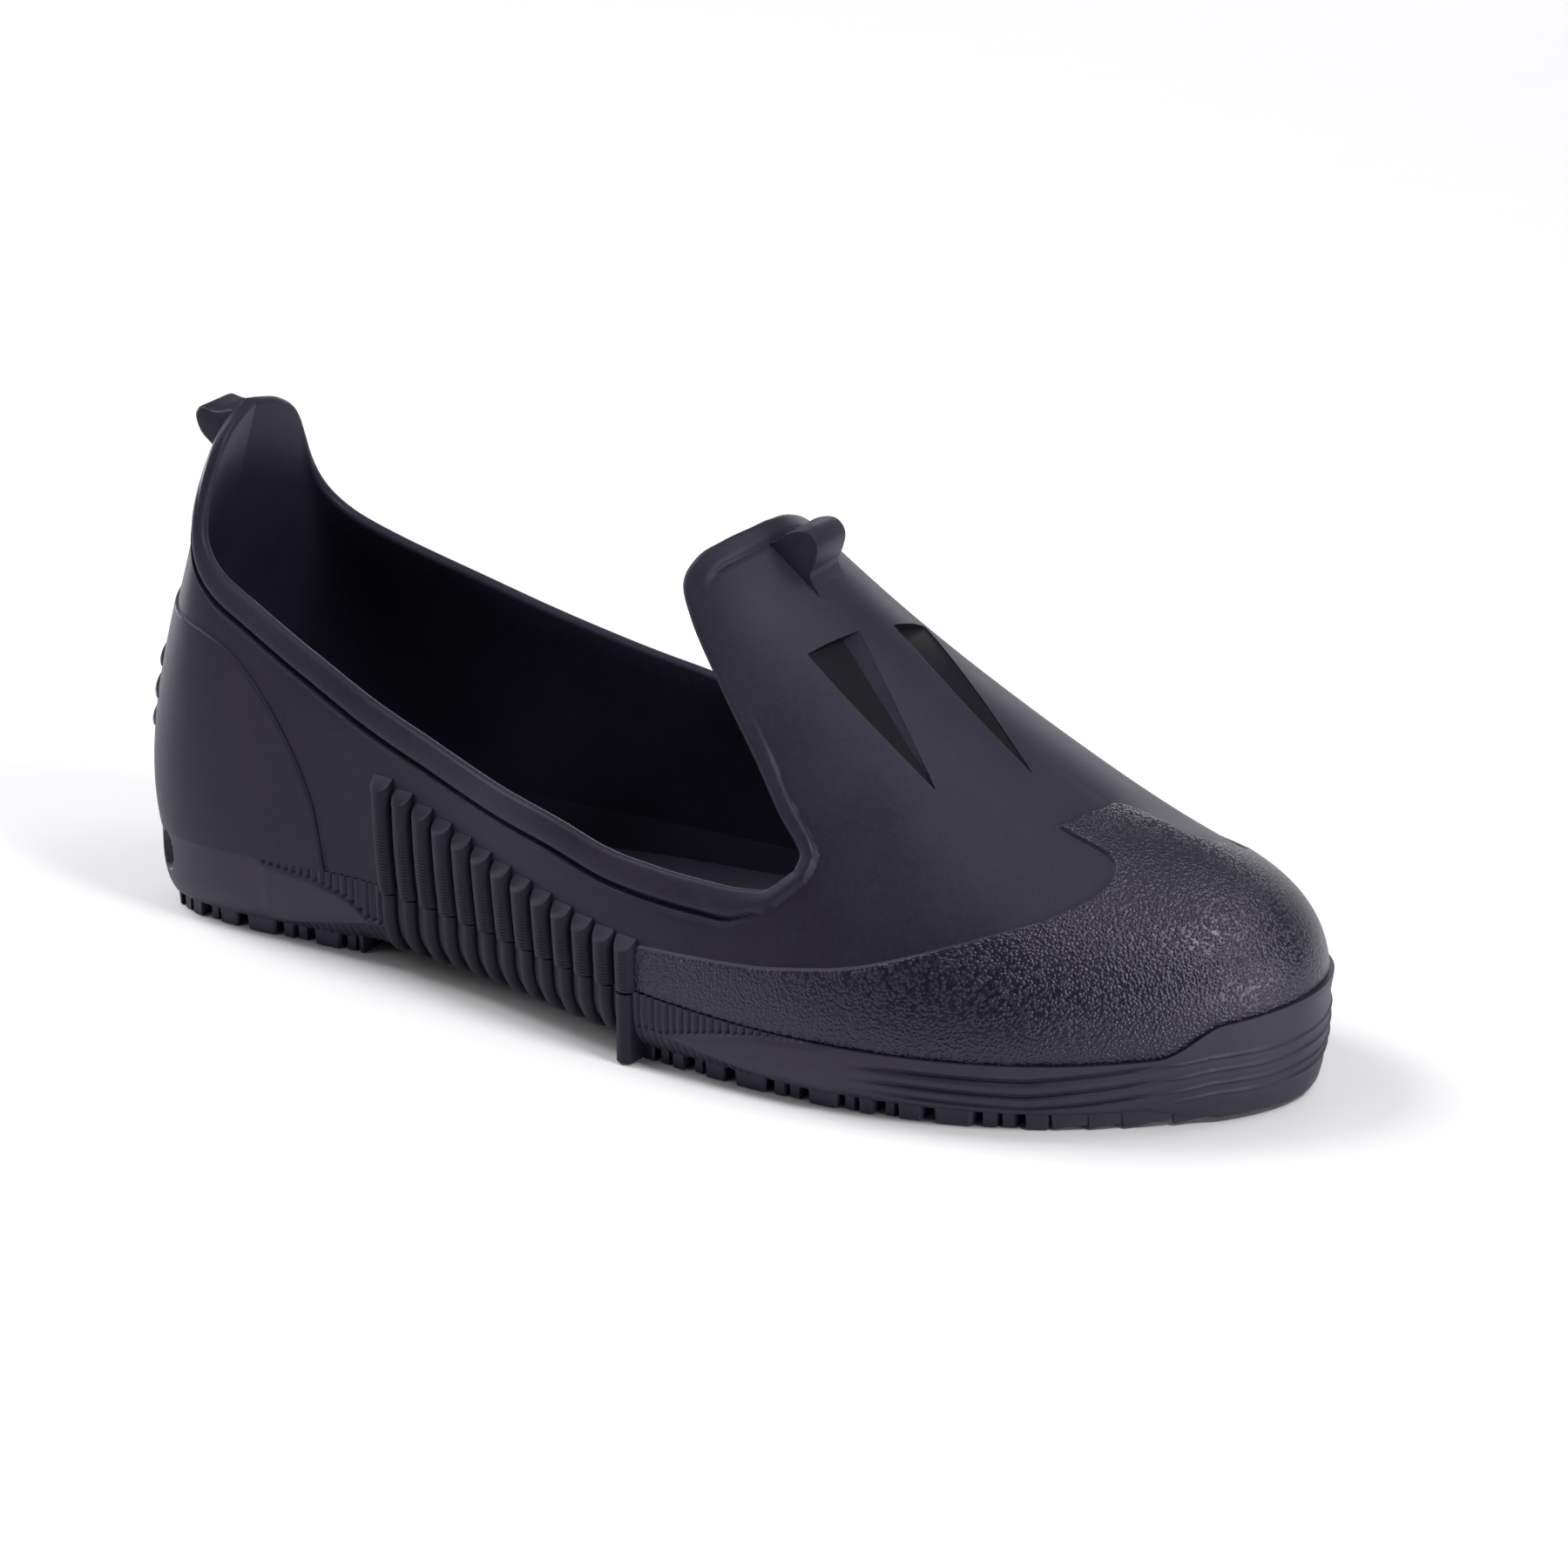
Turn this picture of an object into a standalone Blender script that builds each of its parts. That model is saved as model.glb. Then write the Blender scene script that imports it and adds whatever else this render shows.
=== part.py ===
"""Moulded rubber work overshoe for the right foot: outsole, hollow upper and toe guard."""

import bmesh
import bpy
import numpy as np

# Driving sizes in millimetres; X runs from the heel back to the toe, Y to the left, Z up.
MM = 0.001
WALL = 2.5
GAP = 0.3
FRAME_X = 154.79
FRAME_Y = -0.93

# Stations round the last, heel back to toe tip.
# x, lateral, medial and foot: where the upper meets the sole.
# top_x, top_half, sway and top_z: the top line, which is the ridge from the vamp forward.
# low, lean: length and outward lean in degrees of the wall at the foot.
# high, fan, drop, tilt: length, plan direction, fall and ridge slope of the wall at the top.
LAST_COLUMNS = ("x", "lateral", "medial", "foot", "top_x", "top_half", "sway", "top_z",
                "low", "lean", "high", "fan", "drop", "tilt")
LAST = (
    (5.6, 0.0, 0.0, 20.6, 22.8, 0.0, 0.0, 122.0, 31.0, 11.7, 33.6, 180, 74, 0.0),
    (13.0, 26.6, 26.0, 20.8, 25.2, 14.1, 0.0, 121.0, 28.7, 10.0, 35.6, 125, 74, 0.0),
    (40.0, 35.4, 35.9, 21.6, 34.1, 18.1, 0.0, 118.0, 30.0, 9.7, 36.7, 90, 70, 0.0),
    (80.0, 35.5, 36.3, 21.7, 80.0, 17.8, 0.0, 116.0, 30.2, 8.9, 35.3, 90, 58, 0.0),
    (120.0, 42.2, 39.9, 20.1, 118.0, 16.8, 0.0, 117.0, 30.2, 8.0, 34.7, 90, 36, 0.0),
    (155.0, 50.8, 43.4, 18.6, 150.0, 16.8, 1.0, 124.0, 28.4, 6.5, 36.0, 90, 6, -0.5),
    (190.0, 54.5, 50.0, 17.1, 180.0, 16.8, 3.4, 105.9, 26.1, 4.4, 34.9, 90, 0, -0.62),
    (225.0, 53.0, 52.8, 16.9, 214.0, 16.8, 4.8, 82.4, 22.8, 3.1, 34.2, 88, 0, -0.62),
    (261.8, 41.0, 47.9, 17.2, 244.0, 16.8, 7.0, 65.2, 20.6, 2.7, 31.8, 62, 0, -0.45),
    (291.5, 18.0, 35.4, 18.6, 257.0, 16.8, 7.0, 60.0, 20.1, 3.3, 31.1, 32, 0, -0.25),
    (303.7, -8.0, 8.0, 20.7, 262.0, 16.8, 7.7, 59.0, 20.7, 3.8, 30.8, 0, 0, -0.2),
)
TOE_STATION = len(LAST) - 1
LOOP = 2 * TOE_STATION
RIDGE_CLOSES = (4.0, 5.4)
SAME = 1e-6

# The collar: the rim from the heel back to the throat corner, then the vamp's rear edge to the ridge.
# station and height: where the edge lies on the last; bead: share of the full rim;
# medial: how much higher the edge lies on the medial side;
# skew: how much further forward the medial side lies.
LOW_COLUMNS = ("station", "height", "bead", "medial")
REAR_COLUMNS = ("height", "station", "skew")
RIM = (
    (0.00, 1.000, 1.0, 0.000),
    (0.40, 0.995, 1.0, 0.000),
    (0.74, 0.980, 1.0, 0.000),
    (1.00, 0.945, 1.0, 0.000),
    (1.20, 0.885, 1.0, 0.000),
    (1.40, 0.825, 1.0, 0.000),
    (1.60, 0.768, 1.0, 0.000),
    (1.85, 0.715, 1.0, 0.000),
    (2.20, 0.655, 1.0, 0.000),
    (2.60, 0.568, 1.0, 0.020),
    (3.00, 0.482, 1.0, 0.040),
    (3.50, 0.411, 1.0, 0.041),
    (4.00, 0.352, 1.0, 0.035),
    (4.50, 0.305, 1.0, 0.026),
    (5.00, 0.266, 1.0, 0.018),
    (5.40, 0.264, 1.0, 0.008),
    (5.75, 0.275, 1.0, 0.000),
    (6.10, 0.294, 0.7, 0.000),
    (6.30, 0.320, 0.3, 0.000),
    (6.45, 0.374, 0.0, 0.000),
)
VAMP = (
    (0.374, 6.45, 0.00),
    (0.420, 6.48, 0.00),
    (0.470, 6.30, 0.02),
    (0.535, 6.08, 0.04),
    (0.620, 5.71, 0.12),
    (0.690, 5.42, 0.20),
    (0.735, 5.31, 0.27),
    (0.790, 5.34, 0.25),
    (0.850, 5.45, 0.14),
    (0.930, 5.56, 0.04),
    (1.000, 5.60, 0.00),
)
RIM_HEIGHT = 7.5
RIM_PROUD = 1.3
RIM_ROWS = (11.0, 6.8, 3.75, 0.9, 0.0)
LIP_ROUND = 0.45
UPPER_LOW_ROWS = (0.0, 0.25, 0.5, 0.75)
UPPER_INSIDE_ROWS = (0.0, 0.33, 0.67, 1.0)
VAMP_HEIGHTS = (0.374, 0.42, 0.47, 0.535, 0.62, 0.69, 0.735, 0.79, 0.86, 0.94, 1.0)

# Columns of each piece's mesh, as rows of until and columns: the last station of a stretch
# and how many columns it takes.
UPPER_STRETCHES = ((2.2, 11), (5.0, 9), (6.45, 8), (8.6, 10))
GUARD_STRETCHES = ((7.92, 12), (8.6, 4))
SOLE_STRETCHES = ((2.7, 11), (5.4, 14), (8.6, 10))

# The grained guard: its upper edge from the ribs forward, then its rear edge over the horn to the ridge.
GUARD_EDGE = (
    (5.26, 0.119, 0.0, 0.0),
    (5.75, 0.140, 0.0, 0.0),
    (6.40, 0.180, 0.0, 0.0),
    (7.00, 0.250, 0.0, 0.0),
    (7.47, 0.360, 0.0, 0.0),
    (7.92, 0.500, 0.0, 0.0),
)
GUARD_REAR = (
    (0.500, 7.92, 0.00),
    (0.560, 8.07, 0.45),
    (0.634, 8.24, 0.74),
    (0.704, 8.34, 0.86),
    (0.746, 8.32, 0.96),
    (0.768, 8.22, 1.15),
    (0.778, 8.06, 1.36),
    (0.786, 7.91, 1.52),
    (0.800, 7.89, 1.58),
    (0.828, 7.95, 1.61),
    (0.878, 8.06, 1.70),
    (0.905, 8.13, 1.62),
    (0.920, 8.19, 1.21),
    (0.932, 8.24, 0.62),
    (0.950, 8.31, 0.31),
    (1.000, 8.52, 0.00),
)
GUARD_LIFT = 0.7
GUARD_THICK = 1.0
GUARD_LOW_ROWS = (0.0, 0.25, 0.5, 0.75, 1.0)
GUARD_HEIGHTS = (0.50, 0.56, 0.634, 0.704, 0.746, 0.778, 0.80, 0.828, 0.878, 0.92, 0.95, 1.0)

# Toe bumper: the sole's band rises in a short step near the toe.
BUMPER_RISE = 6.0
BUMPER_STATIONS = (8.65, 9.10)
BUMPER_FROM = 8.6
BUMPER_COLUMNS = 12

# Sole: a row per station of its outside wall and underside.
SOLE_COLUMNS = ("station", "proud", "inset", "under", "bed")
SOLE = (
    (0.00, 0.4, 1.2, 4.0, 10.0),
    (1.00, 0.4, 2.0, 4.0, 10.0),
    (2.00, 0.4, 4.0, 4.0, 10.0),
    (2.70, 0.4, 4.5, 4.0, 10.0),
    (2.90, 0.4, 5.5, 4.6, 11.0),
    (4.00, 0.4, 5.5, 4.6, 12.0),
    (5.04, 0.4, 5.0, 4.6, 12.0),
    (5.14, 1.4, 2.5, 4.0, 11.0),
    (7.00, 1.6, 2.5, 4.0, 10.0),
    (8.60, 1.4, 2.5, 4.0, 10.0),
    (9.10, 1.4, 1.0, 0.4, 10.0),
    (10.00, 1.2, 0.0, 0.0, 10.0),
)
SOLE_LIP = 3.6
SOLE_WALL_ROWS = (0.0, 0.35, 0.7, 0.9, 1.0)
SOLE_ACROSS = 2
BED_INSET = 1.5
BED_SPRING = 0.8
SPRING_START = 266.0
SPRING_LIFT = 2.0
SPRING_LENGTH = 38.0

# Bellows ribs along each side of the waist.
RIB_COUNT = 13
RIB_FIRST_X = 85.5
RIB_PITCH = 6.31
RIB_ROOT_HALF = 2.2
RIB_CREST_HALF = 1.4
RIB_PROUD = 2.6
RIB_SUNK = 0.8
RIB_TOP_FRONT = 31.0
RIB_TOP_CLIMB = 19.5
RIB_TOP_POWER = 1.35
# Columns of these tables: place along the rib, share of the full height.
RIB_UPPER_ROWS = ((0.0, 1.0), (0.45, 1.0), (0.8, 0.95), (1.0, 0.12))
RIB_LOWER_ROWS = ((0.0, 1.0), (0.4, 1.0), (0.75, 0.95), (0.95, 0.5))

# Lugs of heel and forefoot, in rows across the sole.
# Columns of this table: first_x, last_x, pitch, length, cells.
LUGS = (
    (17.0, 68.0, 8.5, 5.6, 3),
    (170.0, 280.5, 8.5, 5.6, 4),
)
LUG_DEPTH = 4.0
LUG_STAGGER = 0.25
LUG_MARGIN = 0.6
LUG_SLIT = 3.4
LUG_SUNK = 1.0

# Two straight tapered darts in the vamp: plan places of outer and inner top corner and of the tip.
# Columns of this table: outer, inner, tip.
DARTS = (
    ((188.2, -17.8), (193.4, -3.4), (224.3, -22.3)),
    ((197.0, 21.0), (196.3, 7.3), (237.6, -1.3)),
)
DART_DEPTH = 1.3
DART_TIP_DEPTH = 0.65
DART_ABOVE = 3.0
DART_ROWS = 6
DART_END = 0.97
VAMP_STATION = 7.0
VAMP_HEIGHT = 0.9

# Pull tabs: side outlines as x and z; the front one is a bulb on a foot.
# Columns of these tables: x, z.
HEEL_TAB = (
    (22.5, 111.5),
    (15.5, 112.0),
    (12.4, 115.0),
    (11.0, 118.6),
    (11.6, 121.0),
    (13.4, 122.0),
    (17.5, 121.0),
    (22.5, 120.6),
)
HEEL_TAB_HALF = 5.5
FRONT_LUG = (
    (169.8, 110.6),
    (171.6, 113.2),
    (174.6, 115.4),
    (178.2, 116.8),
    (181.0, 116.6),
    (182.8, 114.7),
    (183.0, 112.0),
    (181.8, 108.4),
    (181.8, 105.2),
    (184.4, 101.0),
    (177.5, 104.2),
)
FRONT_LUG_Y = 1.9
FRONT_LUG_HALF = 6.5
TAB_ROUND = 0.9

RUBBER = {
    "outsole": ((0.030, 0.028, 0.038, 1.0), 0.62),
    "upper": ((0.028, 0.026, 0.035, 1.0), 0.55),
    "toe_guard": ((0.026, 0.025, 0.032, 1.0), 0.48),
}


def column(table, columns, name):
    """One named column of a table."""
    return np.array([row[columns.index(name)] for row in table], float)


def loop_spline(values):
    """Closed cubic spline through values at whole stations."""
    n = len(values)
    matrix = 4 * np.eye(n) + np.roll(np.eye(n), 1, 0) + np.roll(np.eye(n), -1, 0)
    bend = np.linalg.solve(matrix, 6 * (np.roll(values, -1) - 2 * values + np.roll(values, 1)))

    def at(t):
        t = np.mod(t, n)
        i = np.floor(t).astype(int) % n
        j = (i + 1) % n
        u = t - np.floor(t)
        w = 1 - u
        return (w * values[i] + u * values[j]
                + ((w ** 3 - w) * bend[i] + (u ** 3 - u) * bend[j]) / 6)

    return at


def through(knots, values, x):
    """Smooth open curve through a table column."""
    slope = np.gradient(values, knots)
    i = np.clip(np.searchsorted(knots, x, side="right") - 1, 0, len(knots) - 2)
    h = knots[i + 1] - knots[i]
    u = (x - knots[i]) / h
    return ((1 + 2 * u) * (1 - u) ** 2 * values[i] + u * (1 - u) ** 2 * h * slope[i]
            + u * u * (3 - 2 * u) * values[i + 1] + u * u * (u - 1) * h * slope[i + 1])


def step(x, low, high):
    """Smooth step from 0 at low to 1 at high."""
    u = np.clip((x - low) / (high - low), 0, 1)
    return u * u * (3 - 2 * u)


def build_last():
    """Splines of every last column, lateral rows first and medial rows on the way back."""
    order = list(range(TOE_STATION + 1)) + list(range(TOE_STATION - 1, 0, -1))
    side = np.array([-1.0] * (TOE_STATION + 1) + [1.0] * (TOE_STATION - 1))
    cols = {name: column(LAST, LAST_COLUMNS, name)[order] for name in LAST_COLUMNS}
    fan = np.radians(cols["fan"])
    data = {name: cols[name] for name in ("x", "foot", "top_x", "top_z", "top_half", "sway",
                                          "low", "high", "tilt")}
    data["y"] = np.where(side < 0, -cols["lateral"], cols["medial"])
    data["lean"] = np.radians(cols["lean"])
    data["drop"] = np.radians(cols["drop"])
    data["fan_x"] = np.cos(fan)
    data["fan_y"] = side * np.sin(fan) * (np.abs(np.sin(fan)) > SAME)
    return {name: loop_spline(values) for name, values in data.items()}


SPLINES = build_last()


def near_station(t):
    """Station counted from the heel on either side."""
    t = np.mod(t, LOOP)
    return np.minimum(t, LOOP - t)


def side_of(t):
    """-1 on the lateral side and 1 on the medial side."""
    return np.where(np.mod(t, LOOP) <= TOE_STATION, -1.0, 1.0)


def outward(t):
    """Plan direction square to the sole's outline."""
    e = 1e-4
    dx = SPLINES["x"](t + e) - SPLINES["x"](t - e)
    dy = SPLINES["y"](t + e) - SPLINES["y"](t - e)
    size = np.hypot(dx, dy)
    return np.stack([dy / size, -dx / size, 0 * dx], -1)


def last_point(t, q):
    """Outside surface of the upper at station t and height q, as a cubic section."""
    t, q = np.broadcast_arrays(np.asarray(t, float), np.asarray(q, float))
    g = {name: f(t) for name, f in SPLINES.items()}
    up = np.array([0.0, 0.0, 1.0])
    foot = np.stack([g["x"], g["y"], g["foot"]], -1)
    half = g["top_half"] * (1 - step(near_station(t), *RIDGE_CLOSES))
    top = np.stack([g["top_x"], g["sway"] + side_of(t) * half, g["top_z"]], -1)
    rise = np.cos(g["lean"])[..., None] * up + np.sin(g["lean"])[..., None] * outward(t)
    fan = np.stack([g["fan_x"], g["fan_y"], 0 * t], -1)
    fan /= np.linalg.norm(fan, axis=-1, keepdims=True)
    fall = np.cos(g["drop"])[..., None] * fan - np.sin(g["drop"])[..., None] * up
    fall[..., 2] += np.cos(g["drop"]) * g["tilt"] * fan[..., 0]
    low = foot + g["low"][..., None] * rise
    high = top + g["high"][..., None] * fall
    q = q[..., None]
    return ((1 - q) ** 3 * foot + 3 * (1 - q) ** 2 * q * low
            + 3 * (1 - q) * q * q * high + q ** 3 * top)


def last_normal(t, q):
    """Outward direction of the last surface."""
    e = 2e-3
    q = np.clip(q, 0, 0.985)
    along = last_point(t + e, q) - last_point(t - e, q)
    rising = last_point(t, q + e) - last_point(t, q - e)
    n = np.cross(along, rising)
    return n / np.linalg.norm(n, axis=-1, keepdims=True)


def band_height(t):
    """Start height on the last above the sole's band, raised at the toe bumper."""
    rise = BUMPER_RISE * step(near_station(t), *BUMPER_STATIONS)
    return rise / (3 * SPLINES["low"](t) * np.cos(SPLINES["lean"](t)))


def height_at(t, z):
    """Height q on the section at station t that lies z above the floor."""
    q = np.linspace(0, 0.9, 181)
    return float(np.interp(z, last_point(np.full_like(q, t), q)[:, 2], q))


def bumper_columns():
    """Columns round the toe that every piece shares, so that their edges stay parallel."""
    return np.linspace(BUMPER_FROM, TOE_STATION, BUMPER_COLUMNS)


def half_columns(first, stretches):
    """Columns of one side from a first station to the toe tip."""
    runs = []
    for until, columns in stretches:
        runs.append(np.linspace(first, until, columns + 1)[:-1])
        first = until
    return np.concatenate(runs + [bumper_columns()])


def both_sides(starts):
    """Lateral columns heel to toe, then medial columns back."""
    return np.concatenate([starts, (LOOP - starts[1:-1])[::-1]])


def mirrored(value, t):
    """Station value kept on the lateral side and mirrored on the medial side."""
    return np.where(side_of(t) < 0, value, LOOP - value)


def rear_station(rear, height, t):
    """Station of a piece's rear edge at a height, further forward on the medial side."""
    knots = column(rear, REAR_COLUMNS, "height")
    station = through(knots, column(rear, REAR_COLUMNS, "station"), height)
    skew = through(knots, column(rear, REAR_COLUMNS, "skew"), height)
    return station + np.where(side_of(t) > 0, skew, 0)


def low_top(starts, low):
    """Height of the low rows' upper end: the piece's edge, then level forward of its corner."""
    near = np.minimum(near_station(starts), low[-1][0])
    knots = column(low, LOW_COLUMNS, "station")
    higher = np.where(side_of(starts) > 0, through(knots, column(low, LOW_COLUMNS, "medial"), near), 0)
    return through(knots, column(low, LOW_COLUMNS, "height"), near) + higher


def low_nodes(starts, low, fractions):
    """Stations and heights of the low rows, straight up from the sole's band."""
    band = band_height(starts)[:, None]
    q = band + (low_top(starts, low)[:, None] - band) * fractions
    return np.broadcast_to(starts[:, None], q.shape), q


def high_nodes(starts, low, rear, heights):
    """Stations and heights of the high rows, level from the rear edge forward round the toe."""
    corner = low[-1][0]
    share = ((near_station(starts) - corner) / (TOE_STATION - corner))[:, None]
    q = np.broadcast_to(np.array(heights), (len(starts), len(heights)))
    edge = rear_station(rear, q, starts[:, None])
    return mirrored(edge + share * (TOE_STATION - edge), starts[:, None]), q


def off_last(t, q, offset):
    """Points that stand a distance off the last."""
    return last_point(t, q) + np.broadcast_to(offset, t.shape)[..., None] * last_normal(t, q)


def front_columns(starts, low):
    """Places of the columns from one corner round the toe to the other."""
    return np.flatnonzero(near_station(starts) >= low[-1][0] - SAME)


def sheet(low, high, front, ring):
    """Points, quads and node places of a low band and of the high rows on its front.

    Nodes are keyed by column and row, with row 0 where the two meet. The ridge is shared.
    """
    count, low_rows = low.shape[:2]
    rows = high.shape[1]
    points = list(low.reshape(-1, 3))
    node = {(i, j + 1 - low_rows): i * low_rows + j for i in range(count) for j in range(low_rows)}
    for k, i in enumerate(front):
        across = len(front) - 1 - k
        for j in range(1, rows):
            ridge = j == rows - 1
            if ridge and across < k:
                node[i, j] = node[front[across], j]
                continue
            node[i, j] = len(points)
            points.append(0.5 * (high[k, j] + high[across, j]) if ridge else high[k, j])
    faces = []
    for i in range(count if ring else count - 1):
        n = (i + 1) % count
        last = rows - 1 if i in front and n in front else 0
        for j in range(1 - low_rows, last):
            faces.append((node[i, j], node[n, j], node[n, j + 1], node[i, j + 1]))
    return np.array(points), faces, node


def open_edges(faces):
    """Edges with a face on one side only, in the direction of that face."""
    edges = {}
    for face in faces:
        for a, b in zip(face, face[1:] + face[:1]):
            edges[a, b] = edges.get((a, b), 0) + 1
    return [(a, b) for a, b in edges if (b, a) not in edges and a != b]


def mesh_object(name, vertices, faces):
    """Closed mesh from millimetre vertices, welded and turned outward."""
    bm = bmesh.new()
    made = [bm.verts.new(np.asarray(v) * MM) for v in vertices]
    for face in faces:
        bm.faces.new([made[k] for k in face])
    bmesh.ops.remove_doubles(bm, verts=bm.verts, dist=2e-6)
    bmesh.ops.dissolve_degenerate(bm, edges=bm.edges, dist=1e-6)
    bmesh.ops.recalc_face_normals(bm, faces=bm.faces)
    mesh = bpy.data.meshes.new(name)
    bm.to_mesh(mesh)
    bm.free()
    made_object = bpy.data.objects.new(name, mesh)
    bpy.context.collection.objects.link(made_object)
    return made_object


def partners(node, inner_node):
    """Inner point that belongs to each outer point of an open edge."""
    low = min(j for _, j in node)
    inner_low = min(j for _, j in inner_node)
    pairs = {}
    for (i, j), k in node.items():
        key = (i, inner_low if j == low else j)
        if key in inner_node:
            pairs[k] = inner_node[key]
    return pairs


def lip_crowns(points, inner_points, mate, rim):
    """Crown of the rounded lip at each open edge point."""
    along = {}
    for a, b in rim:
        stretch = points[b] - points[a]
        stretch = stretch / np.linalg.norm(stretch)
        for k in (a, b):
            along[k] = along.get(k, 0) + stretch
    crowns = {}
    for k, tangent in along.items():
        across = inner_points[mate[k]]
        out = np.cross(tangent, points[k] - across)
        crowns[k] = 0.5 * (points[k] + across) + LIP_ROUND * WALL * out / np.linalg.norm(out)
    return crowns


def shell(name, outer, inner, round_lip):
    """Closed wall from an outer and an inner sheet, with a rounded lip above the foot if wanted."""
    points, faces, node = outer
    inner_points, inner_faces, inner_node = inner
    mate = partners(node, inner_node)
    start = len(points)
    vertices = list(points) + list(inner_points)
    solid = list(faces) + [tuple(start + k for k in reversed(face)) for face in inner_faces]
    low = min(j for _, j in node)
    foot = {k for (_, j), k in node.items() if j == low}
    rim = open_edges(faces)
    crown = {}
    if round_lip:
        collar = [(a, b) for a, b in rim if a not in foot and b not in foot]
        for k, point in lip_crowns(points, inner_points, mate, collar).items():
            crown[k] = len(vertices)
            vertices.append(point)
    for a, b in rim:
        c = start + mate[a]
        d = start + mate[b]
        if a in crown:
            solid.append((b, a, crown[a], crown[b]))
            solid.append((crown[b], crown[a], c, d))
        else:
            solid.append((b, a, c, d))
    return mesh_object(name, vertices, solid)


def rim_relief(distance, bead):
    """How far the rolled rim stands out, by distance from the collar edge."""
    roll = np.sqrt(np.clip(1 - (2 * distance / RIM_HEIGHT - 1) ** 2, 0, 1))
    return bead * RIM_PROUD * np.where(distance > RIM_HEIGHT, 0, roll)


def build_upper():
    """Hollow upper with its rolled rim."""
    starts = both_sides(half_columns(0.0, UPPER_STRETCHES))
    front = front_columns(starts, RIM)
    whole = last_point(*low_nodes(starts, RIM, np.linspace(0, 1, 41)))
    length = np.linalg.norm(np.diff(whole, axis=1), axis=-1).sum(1)[:, None]
    top = 1 - np.array(RIM_ROWS) / length
    fractions = np.concatenate([np.array(UPPER_LOW_ROWS) * top[:, :1], top], 1)
    bead = np.interp(near_station(starts), column(RIM, LOW_COLUMNS, "station"),
                     column(RIM, LOW_COLUMNS, "bead"))
    relief = rim_relief((1 - fractions) * length, bead[:, None])
    high = high_nodes(starts[front], RIM, VAMP, VAMP_HEIGHTS)
    low_outer = off_last(*low_nodes(starts, RIM, fractions), relief)
    low_inner = off_last(*low_nodes(starts, RIM, np.array(UPPER_INSIDE_ROWS)), -WALL)
    low_inner[:, 0, 2] = low_outer[:, 0, 2]
    outer = sheet(low_outer, off_last(*high, 0.0), front, True)
    inner = sheet(low_inner, off_last(*high, -WALL), front, True)
    return shell("upper", outer, inner, True)


def build_guard():
    """Grained toe guard, an even sheet just outside the upper."""
    half = half_columns(GUARD_EDGE[0][0], GUARD_STRETCHES)
    starts = np.concatenate([half, (LOOP - half[:-1])[::-1]])
    front = front_columns(starts, GUARD_EDGE)
    low = low_nodes(starts, GUARD_EDGE, np.array(GUARD_LOW_ROWS))
    high = high_nodes(starts[front], GUARD_EDGE, GUARD_REAR, GUARD_HEIGHTS)
    low_outer = off_last(*low, GUARD_LIFT + GUARD_THICK)
    low_inner = off_last(*low, GUARD_LIFT)
    low_inner[:, 0, 2] = low_outer[:, 0, 2]
    outer = sheet(low_outer, off_last(*high, GUARD_LIFT + GUARD_THICK), front, False)
    inner = sheet(low_inner, off_last(*high, GUARD_LIFT), front, False)
    return shell("toe_guard", outer, inner, False)


def sole_value(name, t):
    """Sole table column at a station of either side."""
    return np.interp(near_station(t), column(SOLE, SOLE_COLUMNS, "station"),
                     column(SOLE, SOLE_COLUMNS, name))


def spring(x):
    """Lift of the underside towards the toe."""
    return SPRING_LIFT * (np.clip(x - SPRING_START, 0, None) / SPRING_LENGTH) ** 2


def sole_wall(t, r):
    """Outside wall of the sole from its top edge, r = 0, to the edge of the underside, r = 1."""
    t, r = np.broadcast_arrays(np.asarray(t, float), np.asarray(r, float))
    edge = last_point(t, band_height(t))
    under = sole_value("under", t) + spring(edge[..., 0])
    z = edge[..., 2] - GAP + (under - edge[..., 2] + GAP) * r
    out = sole_value("proud", t) * (1 - r ** 4) - sole_value("inset", t) * r ** 4
    p = edge + out[..., None] * outward(t)
    p[..., 2] = z
    return p


def build_outsole():
    """Sole tray with side walls, bed and underside."""
    half = half_columns(0.0, SOLE_STRETCHES)
    starts = both_sides(half)
    count = len(starts)
    wall = sole_wall(starts[:, None], np.array(SOLE_WALL_ROWS)[None])
    lip = wall[:, 0] - (SOLE_LIP + sole_value("proud", starts))[:, None] * outward(starts)
    bed = lip - BED_INSET * outward(starts)
    bed[:, 2] = sole_value("bed", starts) + BED_SPRING * spring(bed[:, 0])
    rings = np.stack([bed, lip] + [wall[:, j] for j in range(wall.shape[1])], 1)
    rows = rings.shape[1]
    vertices = list(rings.reshape(-1, 3))
    faces = []
    for i in range(count):
        n = (i + 1) % count
        for j in range(rows - 1):
            faces.append((i * rows + j, n * rows + j, n * rows + j + 1, i * rows + j + 1))
    across = np.linspace(0, 1, SOLE_ACROSS + 1)[1:-1]

    def plate(ring):
        """Strips across the sole that close the bed or the underside."""
        lines = []
        for i in range(len(half)):
            j = (count - i) % count
            a = i * rows + ring
            b = j * rows + ring
            if a == b:
                lines.append([a] * (len(across) + 2))
                continue
            line = [a]
            for u in across:
                vertices.append(np.asarray(vertices[a]) * (1 - u) + np.asarray(vertices[b]) * u)
                line.append(len(vertices) - 1)
            lines.append(line + [b])
        for one, two in zip(lines[:-1], lines[1:]):
            for k in range(len(one) - 1):
                quad = [one[k], one[k + 1], two[k + 1], two[k]]
                corner = list(dict.fromkeys(quad))
                if len(corner) > 2:
                    faces.append(tuple(corner))

    plate(0)
    plate(rows - 1)
    return mesh_object("outsole", vertices, faces)


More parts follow.
